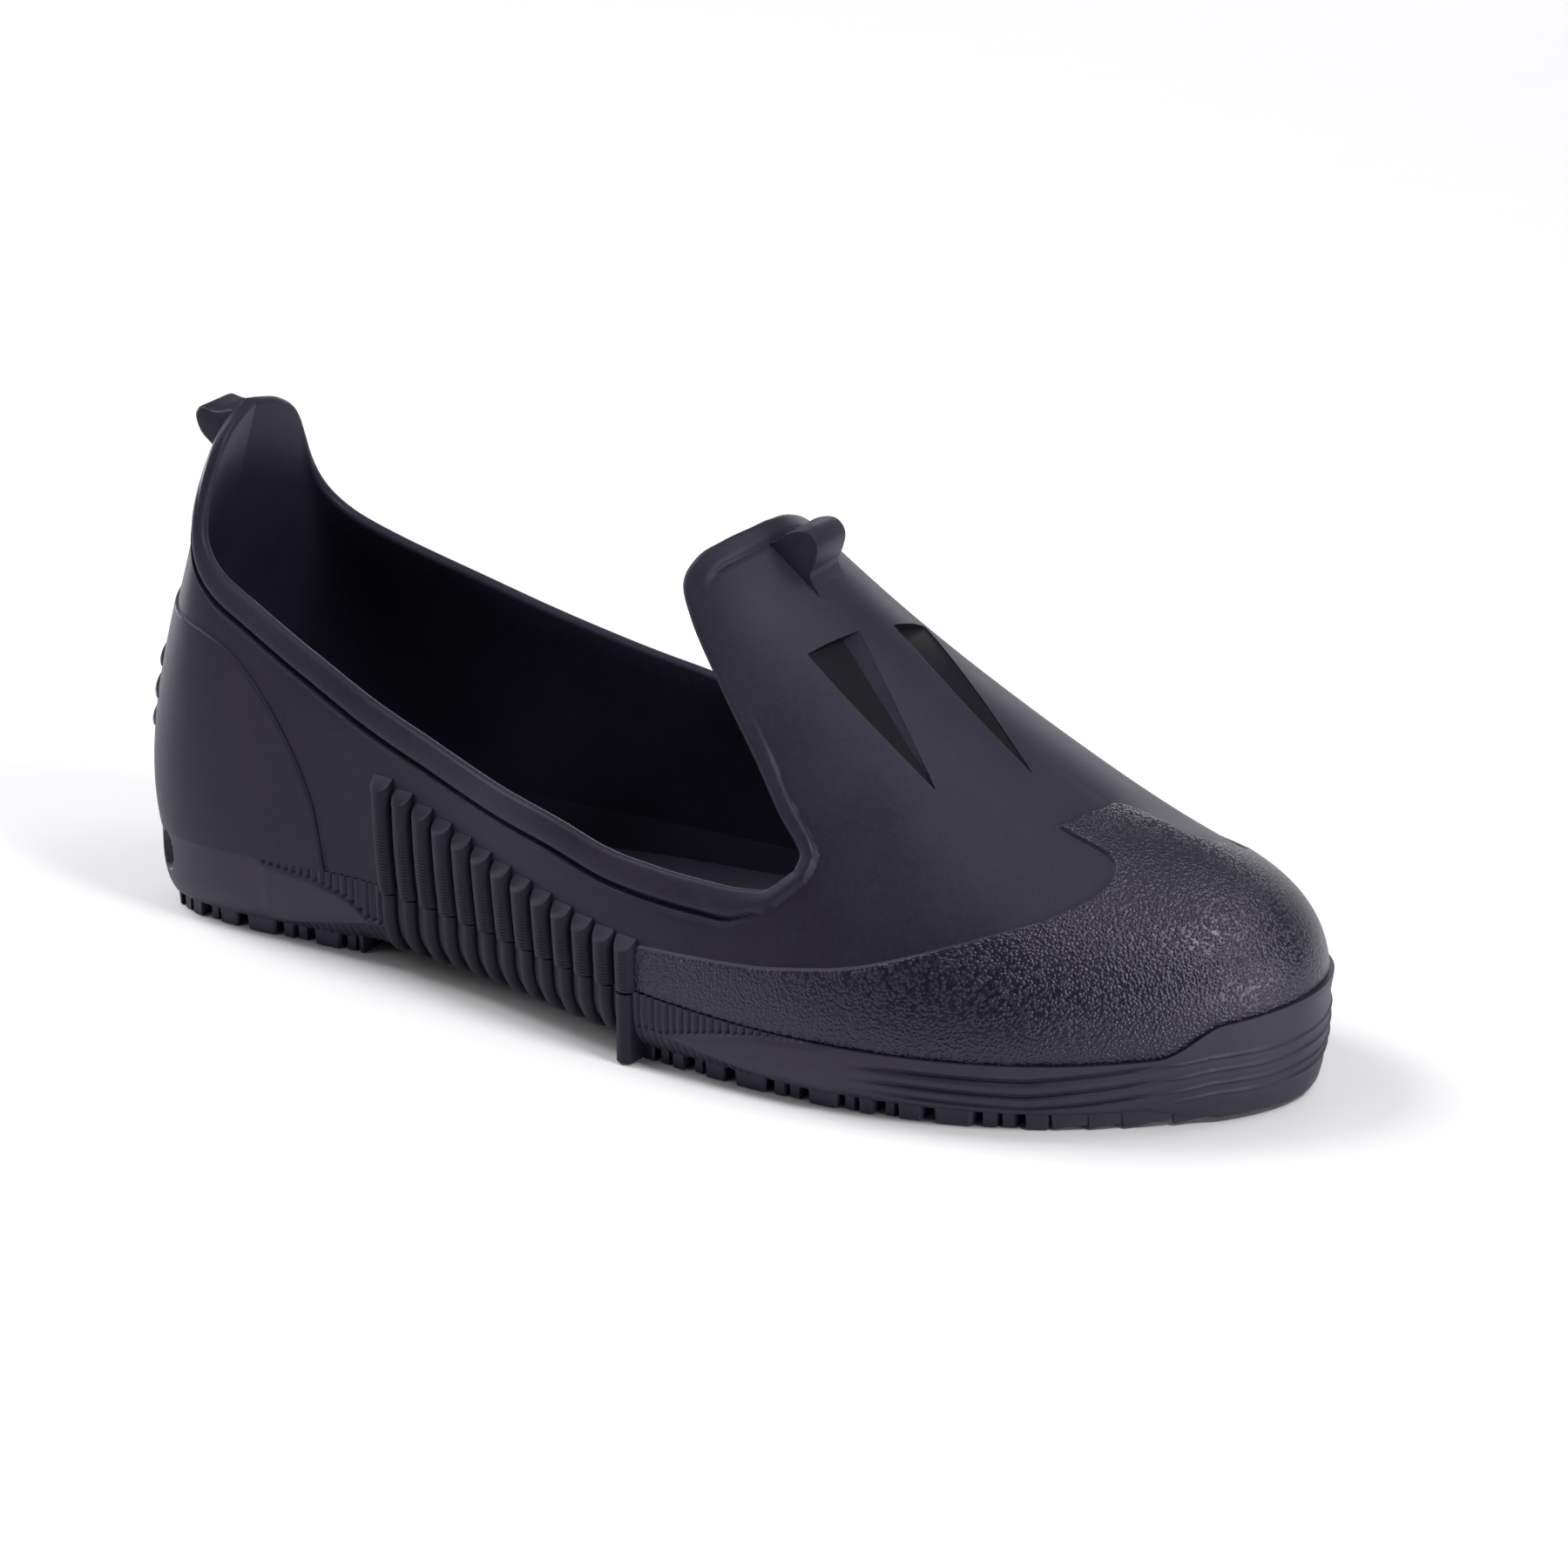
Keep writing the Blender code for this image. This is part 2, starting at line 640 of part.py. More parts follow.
def prism_faces(rows, points):
    """Quads and end caps of a short loft of rows with the same number of points."""
    faces = []
    for j in range(rows - 1):
        for k in range(points):
            n = (k + 1) % points
            faces.append((j * points + k, j * points + n, (j + 1) * points + n, (j + 1) * points + k))
    faces.append(tuple(range(points)))
    faces.append(tuple(range((rows - 1) * points, rows * points)))
    return faces


def gather(name, solids):
    """One cutter or block object from several small closed meshes."""
    vertices = []
    faces = []
    for solid_vertices, solid_faces in solids:
        start = len(vertices)
        vertices.extend(solid_vertices)
        faces.extend(tuple(start + k for k in face) for face in solid_faces)
    tool = mesh_object(name, vertices, faces)
    tool.hide_render = True
    tool.display_type = "WIRE"
    return tool


def combine(target, tool, operation):
    """Join or cut by an exact boolean; the tool stays as a hidden guide."""
    modifier = target.modifiers.new(tool.name, "BOOLEAN")
    modifier.object = tool
    modifier.operation = operation
    modifier.solver = "EXACT"


def rib_stations():
    """Station and x of each rib on the lateral and the medial side."""
    t = np.linspace(0, TOE_STATION, 1001)
    x = RIB_FIRST_X + RIB_PITCH * np.arange(RIB_COUNT)
    lateral = np.interp(x, SPLINES["x"](t), t)
    return list(zip(lateral, x)) + list(zip(LOOP - lateral, x))


def rib_section(centre, normal, along, proud):
    """Four corners of a rib: sunk root and rounded-off crest."""
    root = -RIB_SUNK
    return [centre - RIB_ROOT_HALF * along + root * normal,
            centre - RIB_CREST_HALF * along + proud * normal,
            centre + RIB_CREST_HALF * along + proud * normal,
            centre + RIB_ROOT_HALF * along + root * normal]


def upper_ribs():
    """Upper halves of the bellows ribs with slanted tops."""
    solids = []
    span = RIB_PITCH * (RIB_COUNT - 1)
    for t, x in rib_stations():
        climb = ((RIB_FIRST_X + span - x) / span) ** RIB_TOP_POWER
        top = height_at(t, RIB_TOP_FRONT + RIB_TOP_CLIMB * climb)
        points = []
        for share, proud in RIB_UPPER_ROWS:
            q = top * share
            centre = last_point(t, q)
            normal = last_normal(t, q)
            along = np.cross(normal, np.array([0.0, 0.0, 1.0]))
            along /= np.linalg.norm(along)
            if share == 0.0:
                normal = outward(t)
            points.extend(rib_section(centre, normal, along, RIB_PROUD * proud))
        solids.append((points, prism_faces(len(RIB_UPPER_ROWS), 4)))
    return gather("upper_rib_blocks", solids)


def sole_ribs():
    """Lower halves of the ribs, curving under the waist."""
    solids = []
    for t, _ in rib_stations():
        points = []
        for r, proud in RIB_LOWER_ROWS:
            centre = sole_wall(t, r)
            down = sole_wall(t, min(r + 0.02, 1.0)) - sole_wall(t, max(r - 0.02, 0.0))
            along = np.cross(outward(t), np.array([0.0, 0.0, 1.0]))
            normal = np.cross(down, along)
            normal /= np.linalg.norm(normal)
            if normal @ outward(t) < 0:
                normal = -normal
            if r == 0.0:
                normal = outward(t)
            points.extend(rib_section(centre, normal, along, RIB_PROUD * proud))
        solids.append((points, prism_faces(len(RIB_LOWER_ROWS), 4)))
    return gather("sole_rib_blocks", solids)


def edge_at(x, side):
    """Y of the underside's edge at x on one side."""
    t = np.linspace(0.2, TOE_STATION - 0.2, 400)
    t = t if side < 0 else LOOP - t
    line = sole_wall(t, 1.0)
    order = np.argsort(line[:, 0])
    return float(np.interp(x, line[order, 0], line[order, 1]))


def lugs():
    """Tread blocks of heel and forefoot, in rows across the sole that follow its outline."""
    solids = []
    for first, last, pitch, length, cells in LUGS:
        for row_x in np.arange(first, last + SAME, pitch):
            for c in range(cells):
                inner = 0 < c < cells - 1
                shift = LUG_STAGGER * pitch * (1 if c % 2 else -1) if inner else 0.0
                low = []
                for x in (row_x + shift - length / 2, row_x + shift + length / 2):
                    lateral = edge_at(x, -1) + LUG_MARGIN
                    medial = edge_at(x, 1) - LUG_MARGIN
                    cell = (medial - lateral - LUG_SLIT * (cells - 1)) / cells
                    y = lateral + c * (cell + LUG_SLIT)
                    low.append(((x, y, spring(x)), (x, y + cell, spring(x))))
                ring = [low[0][0], low[1][0], low[1][1], low[0][1]]
                lid = [(x, y, z + LUG_DEPTH + LUG_SUNK) for x, y, z in ring]
                solids.append((ring + lid, prism_faces(2, 4)))
    return gather("lug_blocks", solids)


def tab_block(outline, middle, half):
    """Side outline carried across, a little smaller at both ends."""
    centre = np.mean(outline, 0)
    points = []
    ends = ((-half, TAB_ROUND), (TAB_ROUND - half, 0.0), (half - TAB_ROUND, 0.0), (half, TAB_ROUND))
    for y, shrink in ends:
        for x, z in outline:
            arm = np.array([x, z]) - centre
            x, z = centre + arm * (1 - shrink / np.linalg.norm(arm))
            points.append((x, middle + y, z))
    return points, prism_faces(4, len(outline))


def pull_tabs():
    """Heel tab behind the rim and rounded lug on the vamp's top."""
    return gather("tab_blocks", [tab_block(HEEL_TAB, 0.0, HEEL_TAB_HALF),
                                 tab_block(FRONT_LUG, FRONT_LUG_Y, FRONT_LUG_HALF)])


def on_vamp(x, y):
    """Point and normal of the last over a plan place on the vamp."""
    ridge = np.interp(x, column(LAST, LAST_COLUMNS, "top_x"), column(LAST, LAST_COLUMNS, "sway"))
    t = VAMP_STATION if y < ridge else LOOP - VAMP_STATION
    q = VAMP_HEIGHT
    e = 1e-3
    for _ in range(12):
        here = last_point(t, q)[:2]
        by_t = (last_point(t + e, q)[:2] - here) / e
        by_q = (last_point(t, q - e)[:2] - here) / -e
        slope = np.stack([by_t, by_q], 1)
        dt, dq = np.linalg.solve(slope, np.array([x, y]) - here)
        t = t + np.clip(dt, -0.5, 0.5)
        q = np.clip(q + np.clip(dq, -0.1, 0.1), 0.3, 0.999)
    return last_point(t, q), last_normal(t, q)


def darts():
    """Cutters for the two darts, following the vamp from top edge to tip."""
    solids = []
    for outer, inner, tip in DARTS:
        outer, inner, tip = (np.array(p) for p in (outer, inner, tip))
        points = []
        for u in np.linspace(0, DART_END, DART_ROWS):
            left, left_normal = on_vamp(*(outer * (1 - u) + tip * u))
            right, right_normal = on_vamp(*(inner * (1 - u) + tip * u))
            depth = DART_DEPTH * (1 - u) + DART_TIP_DEPTH * u
            points.extend([left - depth * left_normal, right - depth * right_normal,
                           right + DART_ABOVE * right_normal, left + DART_ABOVE * left_normal])
        solids.append((points, prism_faces(DART_ROWS, 4)))
    return gather("dart_blocks", solids)


def paint(target):
    """Plain dark rubber from the photograph's tones."""
    colour, roughness = RUBBER[target.name]
    material = bpy.data.materials.new(target.name + "_rubber")
    material.use_nodes = True
    shader = material.node_tree.nodes["Principled BSDF"]
    shader.inputs["Base Color"].default_value = colour
    shader.inputs["Roughness"].default_value = roughness
    shader.inputs["Metallic"].default_value = 0.0
    target.data.materials.append(material)


def main():
    for old in list(bpy.data.objects):
        bpy.data.objects.remove(old)
    frame = bpy.data.objects.new("frame", None)
    frame.location = (-FRAME_X * MM, -FRAME_Y * MM, 0.0)
    bpy.context.collection.objects.link(frame)
    upper = build_upper()
    guard = build_guard()
    outsole = build_outsole()
    combine(upper, upper_ribs(), "UNION")
    combine(upper, pull_tabs(), "UNION")
    combine(upper, darts(), "DIFFERENCE")
    combine(outsole, sole_ribs(), "UNION")
    combine(outsole, lugs(), "UNION")
    for piece in (upper, guard, outsole):
        paint(piece)
    for item in list(bpy.data.objects):
        if item is not frame:
            item.parent = frame


main()
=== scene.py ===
"""Moulded rubber work overshoe for the right foot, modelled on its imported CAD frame."""

import itertools
import math

import bpy
import numpy as np
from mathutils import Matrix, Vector


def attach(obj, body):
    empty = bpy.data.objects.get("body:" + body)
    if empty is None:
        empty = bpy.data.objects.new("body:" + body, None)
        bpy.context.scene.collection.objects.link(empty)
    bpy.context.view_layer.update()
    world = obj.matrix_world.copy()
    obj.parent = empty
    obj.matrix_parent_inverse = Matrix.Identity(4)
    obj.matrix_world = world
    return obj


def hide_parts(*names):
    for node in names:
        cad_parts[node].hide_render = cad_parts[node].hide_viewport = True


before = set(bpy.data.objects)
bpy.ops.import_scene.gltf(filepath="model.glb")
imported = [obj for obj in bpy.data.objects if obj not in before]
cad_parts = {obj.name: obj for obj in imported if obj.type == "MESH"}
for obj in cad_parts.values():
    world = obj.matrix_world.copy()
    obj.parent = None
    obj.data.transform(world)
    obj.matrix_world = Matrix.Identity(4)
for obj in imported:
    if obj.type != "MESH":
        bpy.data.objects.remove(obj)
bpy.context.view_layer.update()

bl_info = {
    "name": "Moulded rubber overshoe",
    "version": (1, 0, 0),
    "blender": (4, 5, 0),
    "location": "3D View > Sidebar > Overshoe",
    "description": "Models a moulded rubber work overshoe on its CAD frame",
    "category": "Mesh",
}

# Tables are in millimetres, with X from the heel back to the toe, Y to the left and Z up.
MM = 0.001
# Points closer than this, in metres, are merged, and stations closer than the next are the same.
MERGE = 2e-6
SAME = 1e-9
UP = np.array([0.0, 0.0, 1.0])
FRAME_AT = np.array([154.79, -0.93, 0.0])

# Stations round the last, heel back to toe tip, as in the CAD part.
LAST_COLUMNS = ("x", "lateral", "medial", "foot", "top_x", "top_half", "sway", "top_z",
                "low", "lean", "high", "fan", "drop", "tilt")
LAST = (
    (5.6, 0.0, 0.0, 20.6, 22.8, 0.0, 0.0, 122.0, 31.0, 11.7, 33.6, 180, 74, 0.0),
    (13.0, 26.6, 26.0, 20.8, 25.2, 14.1, 0.0, 121.0, 28.7, 10.0, 35.6, 125, 74, 0.0),
    (40.0, 35.4, 35.9, 21.6, 34.1, 18.1, 0.0, 118.0, 30.0, 9.7, 36.7, 90, 70, 0.0),
    (80.0, 35.5, 36.3, 21.7, 80.0, 17.8, 0.0, 116.0, 30.2, 8.9, 35.3, 90, 58, 0.0),
    (120.0, 42.2, 39.9, 20.1, 118.0, 16.8, 0.0, 117.0, 30.2, 8.0, 34.7, 90, 36, 0.0),
    (155.0, 50.8, 43.4, 18.6, 150.0, 16.8, 1.0, 124.0, 28.4, 6.5, 36.0, 90, 6, -0.5),
    (190.0, 54.5, 50.0, 17.1, 180.0, 16.8, 3.4, 105.9, 26.1, 4.4, 34.9, 90, 0, -0.62),
    (225.0, 53.0, 52.8, 16.9, 214.0, 16.8, 4.8, 82.4, 22.8, 3.1, 34.2, 88, 0, -0.62),
    (261.8, 41.0, 47.9, 17.2, 244.0, 16.8, 7.0, 65.2, 20.6, 2.7, 31.8, 62, 0, -0.45),
    (291.5, 18.0, 35.4, 18.6, 257.0, 16.8, 7.0, 60.0, 20.1, 3.3, 31.1, 32, 0, -0.25),
    (303.7, -8.0, 8.0, 20.7, 262.0, 16.8, 7.7, 59.0, 20.7, 3.8, 30.8, 0, 0, -0.2),
)
LAST_BY_NAME = dict(zip(LAST_COLUMNS, np.array(LAST, float).T))
TOE_STATION = len(LAST) - 1
LOOP = 2 * TOE_STATION
RIDGE_CLOSES = (4.0, 5.4)
# Sections pinch at the ridge, so normals above this height are taken from it.
NORMAL_TOP = 0.985

# The collar: rim from the heel back to the throat corner, then the vamp's rear edge to the ridge.
# A rim row has station, height, share of the thin seam and added height on the medial side.
# A rear edge's row has height, station and how much further forward the medial side is.
RIM = (
    (0.0, 1.0, 1.0, 0.0), (0.4, 0.995, 1.0, 0.0), (0.74, 0.98, 1.0, 0.0), (1.0, 0.945, 1.0, 0.0),
    (1.2, 0.885, 1.0, 0.0), (1.4, 0.825, 1.0, 0.0), (1.6, 0.768, 1.0, 0.0), (1.85, 0.715, 1.0, 0.0),
    (2.2, 0.655, 1.0, 0.0), (2.6, 0.568, 1.0, 0.02), (3.0, 0.482, 1.0, 0.04), (3.5, 0.411, 1.0, 0.041),
    (4.0, 0.352, 1.0, 0.035), (4.5, 0.305, 1.0, 0.026), (5.0, 0.266, 1.0, 0.018), (5.4, 0.264, 1.0, 0.008),
    (5.75, 0.275, 1.0, 0.0), (6.05, 0.291, 0.4, 0.0), (6.25, 0.313, 0.0, 0.0), (6.45, 0.374, 0.0, 0.0),
)
VAMP = (
    (0.374, 6.45, 0.0), (0.42, 6.48, 0.0), (0.47, 6.3, 0.02), (0.535, 6.08, 0.04), (0.62, 5.71, 0.12),
    (0.69, 5.42, 0.2), (0.735, 5.31, 0.27), (0.79, 5.34, 0.25), (0.85, 5.45, 0.14),
    (0.93, 5.56, 0.04), (1.0, 5.6, 0.0),
)
# Columns of the upper's mesh, distances of its first rows from the collar, and its even rows.
UPPER_RUNS = ((2.2, 64), (5.0, 92), (6.2, 40), (6.45, 12), (6.75, 16), (10.0, 112))
RIM_STEPS = (0.0, 0.4, 0.9, 1.5, 2.1, 2.8, 3.5, 4.2, 4.8, 5.3, 5.8, 6.2, 6.5, 6.75, 7.0, 7.2,
             7.4, 7.6, 7.8, 8.0, 8.3, 8.8, 9.6)
WALL_ROWS = 15
INSIDE_ROWS = 9
VAMP_ROWS = 60
LIP_ROWS = 9
# The roll is measured square to the collar from this station on, and narrows into the throat corner.
THROAT_START = 5.2
NARROW_START = 5.9
THROAT_NARROW = 1.1
# The roll's crown as a share of its height, and how far its round reaches past the lip.
BEAD_CROWN = 0.66
BEAD_REACH = 1.25
# The thin seam and the valley above it: half widths, distance between them and the valley's depth.
SEAM_HALF = 0.52
VALLEY_HALF = 0.42
VALLEY_ABOVE = 0.95
VALLEY_DEPTH = 0.8
# Heights over which the tongue's band starts and the roll beside the throat ends.
TONGUE_RISE = (0.73, 0.8)
ROLL_FADE = (0.44, 0.62)
TONGUE_PROUD = 0.5
TONGUE_EDGE = 0.9
# Crease in front of the tongue's band: depth, distance and half width.
TONGUE_CREASE = (0.3, 0.3, 0.45)

# The heel counter's front edge, as station and height.
COUNTER = (
    (0.0, 0.6), (0.7, 0.597), (1.3, 0.59), (1.77, 0.57), (2.04, 0.54), (2.21, 0.49),
    (2.34, 0.43), (2.44, 0.37), (2.54, 0.29), (2.62, 0.2), (2.65, 0.12), (2.67, 0.0),
)
# Its rows crowd along the edge, which is rounded and starts a little under the wall.
COUNTER_COLUMNS = 170
COUNTER_ROWS = np.concatenate([np.linspace(0, 0.06, 10)[:-1], np.linspace(0.06, 1, 26)])
COUNTER_SUNK = 0.12
COUNTER_ROUND = 0.8
COUNTER_THICK = 0.9
# Kick ridges on the heel back: height, half length and half width.
KICK_RIDGES = ((62.7, 27.0, 1.8), (54.9, 29.0, 2.2), (47.1, 28.0, 1.9))
# A ridge's base follows the wall at this share of its relief, and its ends are blunt.
KICK_BASE = -0.3
KICK_SQUARE = 0.8

# The grained guard: upper edge from the ribs forward, then rear edge over the horn to the ridge,
# with the same columns as the collar.
GUARD_EDGE = (
    (5.26, 0.119, 0.0, 0.0), (5.75, 0.14, 0.0, 0.0), (6.4, 0.18, 0.0, 0.0), (7.0, 0.25, 0.0, 0.0),
    (7.47, 0.36, 0.0, 0.0), (7.92, 0.5, 0.0, 0.0),
)
GUARD_REAR = (
    (0.5, 7.92, 0.0), (0.56, 8.07, 0.45), (0.634, 8.24, 0.74), (0.704, 8.34, 0.86),
    (0.746, 8.32, 0.96), (0.768, 8.22, 1.15), (0.778, 8.06, 1.36), (0.786, 7.91, 1.52),
    (0.8, 7.89, 1.58), (0.828, 7.95, 1.61), (0.878, 8.06, 1.7), (0.905, 8.13, 1.62),
    (0.92, 8.19, 1.21), (0.932, 8.24, 0.62), (0.95, 8.31, 0.31), (1.0, 8.52, 0.0),
)
GUARD_RUNS = ((6.4, 34), (7.92, 56), (8.05, 12), (10.0, 76))
GUARD_HIGH_RUNS = ((0.74, 18), (0.764, 6), (0.79, 22), (0.83, 8), (0.9, 10), (0.936, 20),
                   (0.955, 6), (1.0, 6))
GUARD_STEPS = (0.0, 0.15, 0.35, 0.6, 0.9, 1.3, 2.0)
GUARD_ROWS = 22
GUARD_SUNK = 0.15
GUARD_THICK = 1.0
# The guard's foot: width of its round as a share of the edge's, and height where it starts.
GUARD_FOOT_ROUND = 0.6
GUARD_FOOT_RISE = 0.55
# Distances from the edge: smooth rubber up to the first, and grain rising over the pair.
GUARD_SMOOTH = 1.1
GRAIN_RISE = (0.9, 1.5)

# Toe bumper: the sole's band rises in a short step near the toe.
BUMPER_RISE = 6.0
BUMPER_STATIONS = (8.65, 9.1)

# Sole: a row per station of its outside wall and underside.
SOLE_COLUMNS = ("station", "proud", "inset", "under", "bed")
SOLE = (
    (0.0, 0.4, 1.2, 4.0, 10.0), (1.0, 0.4, 2.0, 4.0, 10.0), (2.0, 0.4, 4.0, 4.0, 10.0),
    (2.7, 0.4, 4.5, 4.0, 10.0), (2.9, 0.4, 5.5, 4.6, 11.0), (4.0, 0.4, 5.5, 4.6, 12.0),
    (5.04, 0.4, 5.0, 4.6, 12.0), (5.14, 1.4, 2.5, 4.0, 11.0), (7.0, 1.6, 2.5, 4.0, 10.0),
    (8.6, 1.4, 2.5, 4.0, 10.0), (9.1, 1.4, 1.0, 0.4, 10.0), (10.0, 1.2, 0.0, 0.0, 10.0),
)
SOLE_BY_NAME = dict(zip(SOLE_COLUMNS, np.array(SOLE, float).T))
SOLE_RUNS = ((2.0, 66), (3.16, 130), (5.1, 50), (6.9, 196), (8.6, 70), (10.0, 64))
SOLE_ROWS = 52
# The wall turns in towards the underside by this power of its depth.
WALL_POWER = 4
# Rows crowd about the long lines: how many times closer, over what half height, from what stations.
LINE_CROWD = 5.0
CROWD_HALF = 0.7
CROWD_RISE = (6.6, 7.0)
# Gap under the upper, then the tray's lip, its bed and the toe spring of the underside.
SOLE_TOP_GAP = 0.05
SOLE_LIP = 2.45
BED_INSET = 1.5
BED_SPRING = 0.8
PLATE_ROWS = 6
SPRING_START = 266.0
SPRING_LIFT = 2.0
SPRING_LENGTH = 38.0

# Relief of the sole's band, as places along the shoe and heights.
FORE_FLUTES = ((162.0, 9.6), (171.2, 9.6), (185.4, 13.4), (197.9, 15.7), (209.0, 16.6), (220.0, 18.0))
FORE_SKIRT = ((162.0, 9.6), (171.2, 9.6), (181.6, 7.4), (190.0, 5.9), (199.0, 3.8), (220.0, 2.0))
HEEL_FLUTES = ((44.0, 22.5), (48.1, 20.6), (63.1, 18.7), (72.9, 16.0), (78.0, 12.2), (84.0, 11.2))
HEEL_SKIRT = ((44.0, 3.0), (52.7, 5.6), (66.2, 8.2), (76.8, 10.4), (84.0, 11.2))
GROOVE_STATIONS = (7.0, 7.9, 9.0, 10.0)
GROOVES = (
    (13.4, 13.2, 17.4, 17.4),
    (10.2, 9.5, 14.2, 14.0),
    (7.2, 6.1, 11.0, 10.6),
)
LINES = GROOVES + ((4.6, 3.9, 8.4, 8.0),)
# Spans of the relief: fade in from the first to the second, and out from the third to the fourth.
FORE_SPAN = (162.5, 163.5, 214.0, 219.0)
HEEL_SPAN = (46.0, 50.0, 84.5, 85.5)
GROOVE_SPAN = (6.75, 7.35, 8.45, 8.8)
TIP_SPAN = (9.4, 10.1, 10.5, 11.2)
BUMPER_LINES = (8.5, 8.9)
FLUTE_EDGE = (-0.1, 0.5)
FLUTE_POWER = 1.4
# Smooth wave panels: relief, and the fades of their upper and their lower edge.
FORE_PANEL = (0.6, (-0.3, 1.6), (-0.3, 1.2))
HEEL_PANEL = (0.35, (-0.3, 0.9), (-0.2, 0.5))
# The heel panel is prouder along its lower edge: relief, middle, half width and where it starts.
HEEL_PANEL_LIP = (0.5, -0.5, 0.8, (50.0, 56.0))
GROOVE_HALF = 0.62
# Bumper lines as relief, drop and half width: the line, the dip under it and the groove round the tip.
BUMPER_PROFILE = ((0.5, 0.0, 0.24), (0.12, 0.7, 0.5), (0.5, 1.5, 1.0))
TIP_FLARE = 0.6
TIP_FLARE_DROP = 5.5
# Round recess at the heel: height, half height, station, half length, depth and edge.
HEEL_SCOOP = (15.2, 5.2, 1.16, 0.13, 2.0, 0.4)

# Bellows ribs along each side of the waist.
RIB_COUNT = 13
RIB_FIRST_X = 85.5
RIB_PITCH = 6.31
RIB_TOP_FRONT = 31.0
RIB_TOP_CLIMB = 19.5
RIB_TOP_POWER = 1.35
RIB_BLANK = 38.0
RIB_RINGS = 22
RIB_SIDES = 36
RIB_PATH = 60
# A rib's base under the wall, the powers that square its section, and its rounded edges.
RIB_SUNK = 0.9
RIB_SQUARE = (0.92, 0.9)
RIB_TOP_AT = 0.02
RIB_TOP_ROUND = 0.1
RIB_END_ROUND = 0.2
LOWER_END_ROUND = 0.5
# Cross lines lie on the crest, as shares of the relief, and on the lower part, as shares of the length.
TICK_RISE = (0.75, 0.95)
TICK_SIDE = (-0.4, 0.4)
TICK_START = (0.4, 0.55)
# Lower halves: span down the sole's wall, then where their ends taper and by how much.
LOWER_SPAN = (0.055, 0.98)
LOWER_TAPER = 0.7
LOWER_THIN = 0.8
# The front rib's lower half is a straight post that stops above the floor.
POST_DEPTH = 5.0
POST_FOOT = 0.4

# Tread blocks along the edge, repeated: length, gap behind it and set-back from the wall.
EDGE_LUGS = ((7.6, 1.4, 0.0), (2.6, 1.0, 0.7), (3.4, 2.4, 0.2), (2.4, 0.8, 1.1), (5.6, 2.6, 0.3),
             (8.6, 1.8, 0.0), (3.0, 0.9, 0.5), (2.8, 2.2, 0.9))
LUG_SPANS = ((10.0, 73.0), (159.0, 262.0))
# Slanted teeth that close the edge up to the toe wall.
TEETH = (262.5, 269.5, 275.5, 284.5, 293.5)
TOOTH_RISE = 1.3
TOOTH_LAP = 0.4
# Inner rows: first and last place, pitch, length of a block and blocks across.
INNER_LUGS = ((20.0, 68.0, 8.5, 5.6, 3), (172.5, 276.0, 8.5, 5.6, 4))
EDGE_LUG_WIDTH = 9.0
LUG_SLIT = 3.0
LUG_SUNK = 1.0
LUG_TAPER = (0.9, 0.94, 1.0)
LUG_BEVEL = 0.12
LUG_STAGGER = 0.25

# Two straight tapered darts in the vamp: plan places of outer and inner top corner and of the tip.
DARTS = (
    ((188.2, -17.8), (193.4, -3.4), (224.3, -22.3)),
    ((197.0, 21.0), (196.3, 7.3), (237.6, -1.3)),
)
# The wedge that cuts a dart ends before the tip, and its crease lies nearer to the inner wall.
DART_ROWS = 14
DART_END = 0.985
DART_CREASE = 0.74
DART_ABOVE = 3.0
# Faces that lean less than this towards the inner wall get the darker dart rubber, painted shade of a deep
# recess; the floor rises to the tip.
DART_WALL = 0.15
DART_SHALLOWS = 0.7
DART_OUTER_STEP = 0.25
DART_INNER_STEP = 0.1
DART_CREASE_ANGLE = 12
# A place on the vamp is found from this first guess, in steps no longer than these.
VAMP_STATION = 7.0
VAMP_HEIGHT = 0.9
VAMP_TRIES = 14
STATION_STEP = 0.5
HEIGHT_STEP = 0.1
HEIGHT_LIMITS = (0.3, 0.999)

# Pull tabs: side outlines as x and z, then middle, half width and rounding.
TAB_POINTS = 72
HEEL_TAB = ((20.4, 109.6), (16.0, 110.8), (12.6, 113.8), (11.0, 117.4), (11.4, 119.6),
            (13.4, 120.6), (18.0, 120.2), (23.0, 120.0))
HEEL_TAB_PLACE = (1.2, 6.7, 1.0)
FRONT_LUG = ((169.8, 110.6), (171.6, 113.2), (174.6, 115.4), (178.2, 116.8), (181.0, 116.6),
             (182.8, 114.7), (183.0, 112.0), (181.8, 108.4), (181.8, 105.2), (184.4, 101.0),
             (177.5, 104.2))
FRONT_LUG_PLACE = (1.9, 6.5, 0.6)

# Camera worked out from the photograph: azimuth, elevation, distance, lens and aim.
CAMERA_ANGLES = (30.409, 20.908)
CAMERA_DISTANCE = 1400.0
CAMERA_LENS = 135.28
CAMERA_SENSOR = 36.0
CAMERA_CLIP = 0.05
CAMERA_AIM = (154.83, 28.68, 40.0)

